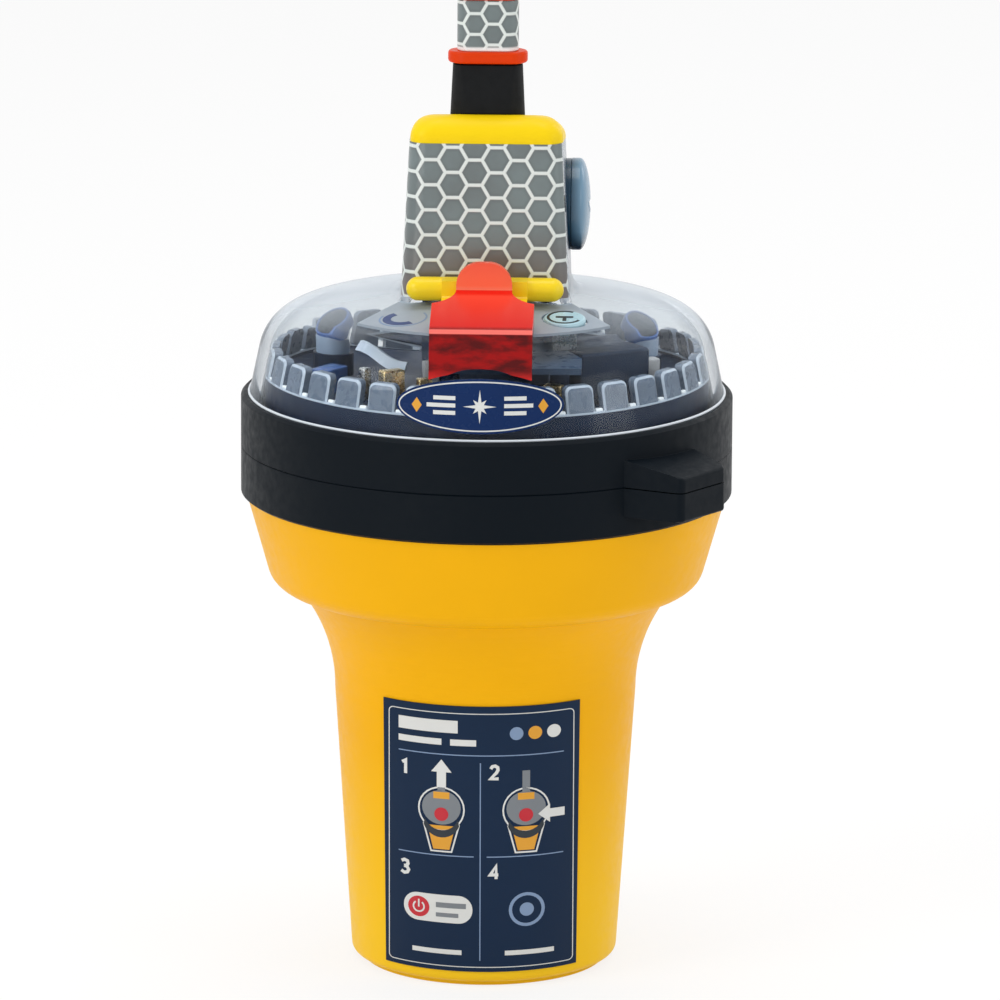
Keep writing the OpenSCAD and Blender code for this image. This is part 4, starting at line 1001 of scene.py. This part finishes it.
def stroke(points, line):
    """A line through (x, z) points, with mitred corners; closed where it ends at its start."""
    closed = points[0] == points[-1]
    if closed:
        points = points[:-1]
        before, after = points[-1:] + points[:-1], points[1:] + points[:1]
    else:
        before, after = points[:1] + points[:-1], points[1:] + points[-1:]
    sides = []
    for p, a, b in zip(points, before, after):
        here = Vector(p)
        legs = [v.normalized() for v in (here - Vector(a), Vector(b) - here) if v.length > 1e-9]
        across = sum((Vector((-v.y, v.x)) for v in legs), Vector((0, 0))).normalized()
        reach = line / 2 / max(0.5, across.dot(Vector((-legs[0].y, legs[0].x))))
        sides.append((tuple(here + across * reach), tuple(here - across * reach)))
    ends = sides[1:] + sides[:1] if closed else sides[1:]
    return [[a[0], b[0], b[1], a[1]] for a, b in zip(sides, ends)]


def frame_line(x0, z0, x1, z1, r, line):
    cx, cz = (x0 + x1) / 2, (z0 + z1) / 2
    points = [(cx + x, cz + z) for x, z in rounded_rect((x1 - x0) / 2, (z1 - z0) / 2, r, 4)]
    return stroke(points + points[:1], line)


def arrow(x, z, length, width, turn=0.0):
    """A block arrow from (x, z), pointing up before it is turned anticlockwise by degrees."""
    half, shaft, neck = width / 2, width * 0.225, length * 0.55
    shape = [(-shaft, 0), (shaft, 0), (shaft, neck), (half, neck), (0, length), (-half, neck), (-shaft, neck)]
    c, s = cos(radians(turn)), sin(radians(turn))
    return [[(x + px * c - pz * s, z + px * s + pz * c) for px, pz in shape]]


def power_mark(x, z, r, line, foot, tip):
    """A ring open at the top round an upright bar from foot to tip, both counted from the middle."""
    return hoop(x, z, r, line, 125, 415) + bar(x - line / 2, z + foot, x + line / 2, z + tip)


DIGITS = {1: [[(-0.45, 0.75), (0.1, 1.1), (0.1, -1.1)]],
          2: [[(-0.6, 0.6), (-0.35, 1.0), (0.1, 1.1), (0.5, 0.85), (0.55, 0.4), (0.3, -0.05), (-0.6, -1.05),
               (0.65, -1.05)]],
          3: [[(-0.55, 0.85), (-0.1, 1.1), (0.4, 0.95), (0.5, 0.5), (0.3, 0.15), (-0.15, 0.05)],
              [(-0.15, 0.05), (0.35, -0.05), (0.6, -0.5), (0.4, -0.95), (-0.1, -1.1), (-0.6, -0.8)]],
          4: [[(0.65, -0.4), (-0.65, -0.4), (0.3, 1.1), (0.3, -1.1)]]}


def digit(number, x, z, size, line):
    shapes = []
    for path in DIGITS[number]:
        shapes += stroke([(x + px * size, z + pz * size) for px, pz in path], line)
    return shapes


def add_print(name, node, shapes, material, lift, body="root", above=False):
    """Outlines in mm, laid on a node as a thin closed film: (x, z) on its front, or (x, y) on its top."""
    skin = BVHTree.FromPolygons([v.co for v in NODES[node].data.vertices],
                                [p.vertices for p in NODES[node].data.polygons])
    flat, deep, ray = (1, 2, Vector((0, 0, -1))) if above else (2, 1, Vector((0, 1, 0)))
    grid, sunk = {0: 1.2 * MM, flat: 3 * MM}, 0.03
    bm = bmesh.new()
    for outline in shapes:
        corners = []
        for point in outline:
            place = Vector((point[0] * MM, 0, 0))
            place[flat] = point[1] * MM
            corners.append(bm.verts.new(place))
        bm.faces.new(corners)
    for axis, step in grid.items():
        low, high = (pick(v.co[axis] for v in bm.verts) for pick in (min, max))
        normal = Vector([float(i == axis) for i in range(3)])
        for k in range(ceil(low / step), floor(high / step) + 1):
            bmesh.ops.bisect_plane(bm, geom=bm.verts[:] + bm.edges[:] + bm.faces[:], dist=1e-7,
                                   plane_co=normal * k * step, plane_no=normal)
    bmesh.ops.triangulate(bm, faces=bm.faces)
    lost = []
    for vert in bm.verts:
        hit = skin.ray_cast(vert.co - ray, ray)[0]
        if hit:
            vert.co[deep] = hit[deep] - ray[deep] * lift * MM
        else:
            lost.append(vert)
    bmesh.ops.delete(bm, geom=lost, context="VERTS")
    made = bmesh.ops.extrude_face_region(bm, geom=bm.faces[:])["geom"]
    bmesh.ops.translate(bm, vec=ray * (lift + sunk) * MM,
                        verts=[item for item in made if isinstance(item, bmesh.types.BMVert)])
    place_piece(from_bmesh(name, bm, material, 30), body, node)


def beacon_sign(x, z):
    """A plain sign of a beacon: mast, round dome and tapered case, and over them a band and a cap."""
    glass = arc(0, 0, 3.5, 200, 340, 12) + arc(0, 1.2, 3.3, -20, -160, 12)
    outline = [(x - 3.3, z - 2.9), (x - 1.9, z - 8.2), (x + 1.9, z - 8.2), (x + 3.3, z - 2.9)]
    return {
        "white": hoop(x, z, 4.2, 0.3) + stroke(outline, 0.3),
        "grey": disc(x, z + 0.3, 3.6, 0.92) + bar(x - 0.7, z + 3.4, x + 0.7, z + 7.6),
        "yellow": [[(x - 2.6, z - 3.2), (x + 2.6, z - 3.2), (x + 1.5, z - 7.8), (x - 1.5, z - 7.8)]],
    }, {
        "dark": [[(x + px, z - 2.0 + pz) for px, pz in glass]],
        "yellow": bar(x - 1.5, z + 2.0, x + 1.5, z + 3.3),
    }


def add_label_print(materials):
    """Steps 1 to 4 in a two by two grid under a row of pale bars."""
    low, high = (corner.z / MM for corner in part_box("case_label"))
    top, mid, foot = high - 9.4, low + 22.4, low + 2.2
    edge, rule, left, right, inner = 15.2, 0.2, -7.2, 8.4, 1.2
    sign_z, key_z, push_z = top - 10.6, mid - 10.4, top - 11.6
    layers = {"base": {}, "over": {}}

    def put(layer, ink, shapes):
        layers[layer].setdefault("print_" + ink, []).extend(shapes)

    put("base", "white", frame_line(-17.0, low + 0.9, 17.0, high - 1.4, 0.8, 0.16))
    for x0, x1, z, h in ((-edge, -4.2, top + 4.2, 2.4), (-edge, left, top + 1.8, 1.2),
                         (-5.6, -0.8, top + 1.8, 1.2)):
        put("base", "white", bar(x0, z, x1, z + h))
    for k, ink in enumerate(("blue", "yellow", "white")):
        put("base", ink, disc(6.6 + 3.4 * k, top + 4.2, 1.25))
    for line in ([(-edge, top), (edge, top)], [(0, top - 1.4), (0, foot)],
                 [(-edge, mid), (-inner, mid)], [(inner, mid), (edge, mid)]):
        put("base", "blue", stroke(line, rule))
    for number, x, z in ((1, -14.0, top - 3.2), (2, 2.6, top - 3.2), (3, -14.0, mid - 3.0),
                         (4, 2.6, mid - 3.0)):
        put("base", "white", digit(number, x, z, 1.15, 0.6))
    for x in (left, right):
        for layer, parts in zip(layers, beacon_sign(x, sign_z)):
            for ink, shapes in parts.items():
                put(layer, ink, shapes)
    put("over", "white", arrow(left, top - 6.4, 5.4, 3.8))
    put("over", "red", disc(left, push_z, 1.3) + disc(right, push_z, 1.3))
    put("over", "white", arrow(15.4, push_z, 4.8, 3.6, 90))
    put("base", "white", [[(x - 7.8, z + key_z) for x, z in rounded_rect(6.4, 2.7, 2.6, 8)]])
    put("over", "red", disc(-11.4, key_z, 2.0))
    put("over", "grey", bar(-8.2, key_z + 0.2, -2.6, key_z + 1.2) + bar(-8.2, key_z - 1.6, -4.0, key_z - 0.8))
    put("over", "white", power_mark(-11.4, key_z, 1.0, 0.3, -0.1, 1.4))
    put("base", "blue", hoop(8.6, key_z, 3.0, 0.6) + disc(8.6, key_z, 1.3))
    put("base", "white", bar(4.6, foot + 1.0, 13.6, foot + 1.9) + bar(-12.6, foot + 1.0, -3.4, foot + 1.9))
    for layer, shapes in layers.items():
        for key, outlines in shapes.items():
            lift = 0.04 if layer == "base" else (0.09 if key == "print_white" else 0.07)
            add_print("label_%s_%s" % (key, layer), "case_label", outlines, materials[key], lift)


def add_badge_print(materials):
    """A pale rim with a compass rose between bars and small diamonds."""
    mid_z = middle("badge")[0].z
    near, thick, diamond_x, diamond_w, diamond_h = 4.4, 0.7, 11.4, 0.9, 1.3
    rim = [(14.6 * cos(a), mid_z + 4.3 * sin(a)) for a in (radians(5 * k) for k in range(72))]
    star = [(r * sin(a), mid_z + r * cos(a)) for r, a in
            (((3.0, 0.8, 1.7, 0.8)[k % 4], radians(22.5 * k)) for k in range(16))]
    white, yellow = stroke(rim + rim[:1], 0.22) + [star], []
    for side in (-1, 1):
        for z, reach in ((1.1, 4.0), (-0.2, 5.2), (-1.5, 4.0)):
            x0, x1 = sorted((near * side, (near + reach) * side))
            white += bar(x0, mid_z + z, x1, mid_z + z + thick)
        x = diamond_x * side
        yellow.append([(x - diamond_w, mid_z), (x, mid_z - diamond_h), (x + diamond_w, mid_z),
                       (x, mid_z + diamond_h)])
    add_print("badge_white", "badge", white, materials["print_white"], 0.05)
    add_print("badge_yellow", "badge", yellow, materials["print_yellow"], 0.05)


def add_key_marks(materials):
    """Marks of the keys: a ring with a bar on the test button, a crescent and an edge line on the keypad."""
    x, y, r = BUTTONS["test_button"]
    on_x, on_y, _ = BUTTONS["on_button"]
    test = (hoop(x, -y, r - 0.9, 0.5, 60, 330) + bar(x - 1.6, -y - 0.3, x + 1.6, -y + 0.5)
            + bar(x - 0.35, -y - 1.9, x + 0.35, -y - 0.3))
    for name, node, shapes, ink, lift, body in (
            ("test_mark", "test_button", test, "dark", 0.05, "test_button"),
            ("on_mark", "on_button", power_mark(on_x, -on_y, 1.9, 0.5, 0.4, 2.6), "white", 0.05, "on_button"),
            ("keypad_crescent", "keypad", hoop(-x, -y, r - 0.9, 1.5, 120, 300), "navy", 0.04, "root"),
            ("keypad_ring", "keypad", hoop(-x, -y, r + 0.4, 0.35, 150, 390), "blue", 0.04, "root")):
        add_print(name, node, shapes, materials["print_" + ink], lift, body, True)


# ---- Stage ----

def add_floor():
    """Pale floor; camera, mirror and glass rays see it lifted to white outside the object's shadow."""
    bm = bmesh.new()
    bmesh.ops.create_grid(bm, x_segments=1, y_segments=1, size=12)
    pale = (0.93, 0.93, 0.93, 1)
    finish = Finish("pale_floor", pale, 0.7, Specular_IOR_Level=0.1)
    finish.scuff(pale, 0.99, 0.002)
    shade = finish.add("ShaderNodeBsdfDiffuse")
    shade.inputs["Color"].default_value = (0.22, 0.22, 0.22, 1)
    glow = finish.add("ShaderNodeEmission")
    glow.inputs["Strength"].default_value = 0.8
    lifted = finish.add("ShaderNodeAddShader")
    finish.link(shade.outputs[0], lifted.inputs[0])
    finish.link(glow.outputs[0], lifted.inputs[1])
    finish.mix_shaders(seen_rays(finish.tree), finish.shader.outputs[0], lifted.outputs[0])
    ground = from_bmesh("floor", bm, finish.material)
    ground.location.z = -0.05 * MM


scene.view_settings.view_transform = "Standard"
add_camera()
add_lamps()
add_world()
add_floor()
MATERIALS = make_materials()
dress_nodes(MATERIALS)
add_dome(MATERIALS["dome"])
add_rim_bead(MATERIALS["bead"])
add_light_ring(MATERIALS["teeth"], MATERIALS["tooth_edge"], MATERIALS["glint"])
add_strobe_lenses(MATERIALS["lens"], MATERIALS["lens_rim"])
add_deck_details(MATERIALS)
add_cap(MATERIALS["cap_yellow"])
add_tape(MATERIALS["tape"])
add_blade(MATERIALS["coated"])
add_knob(MATERIALS["knob"])
dress_copies(MATERIALS)
add_label_print(MATERIALS)
add_badge_print(MATERIALS)
add_key_marks(MATERIALS)
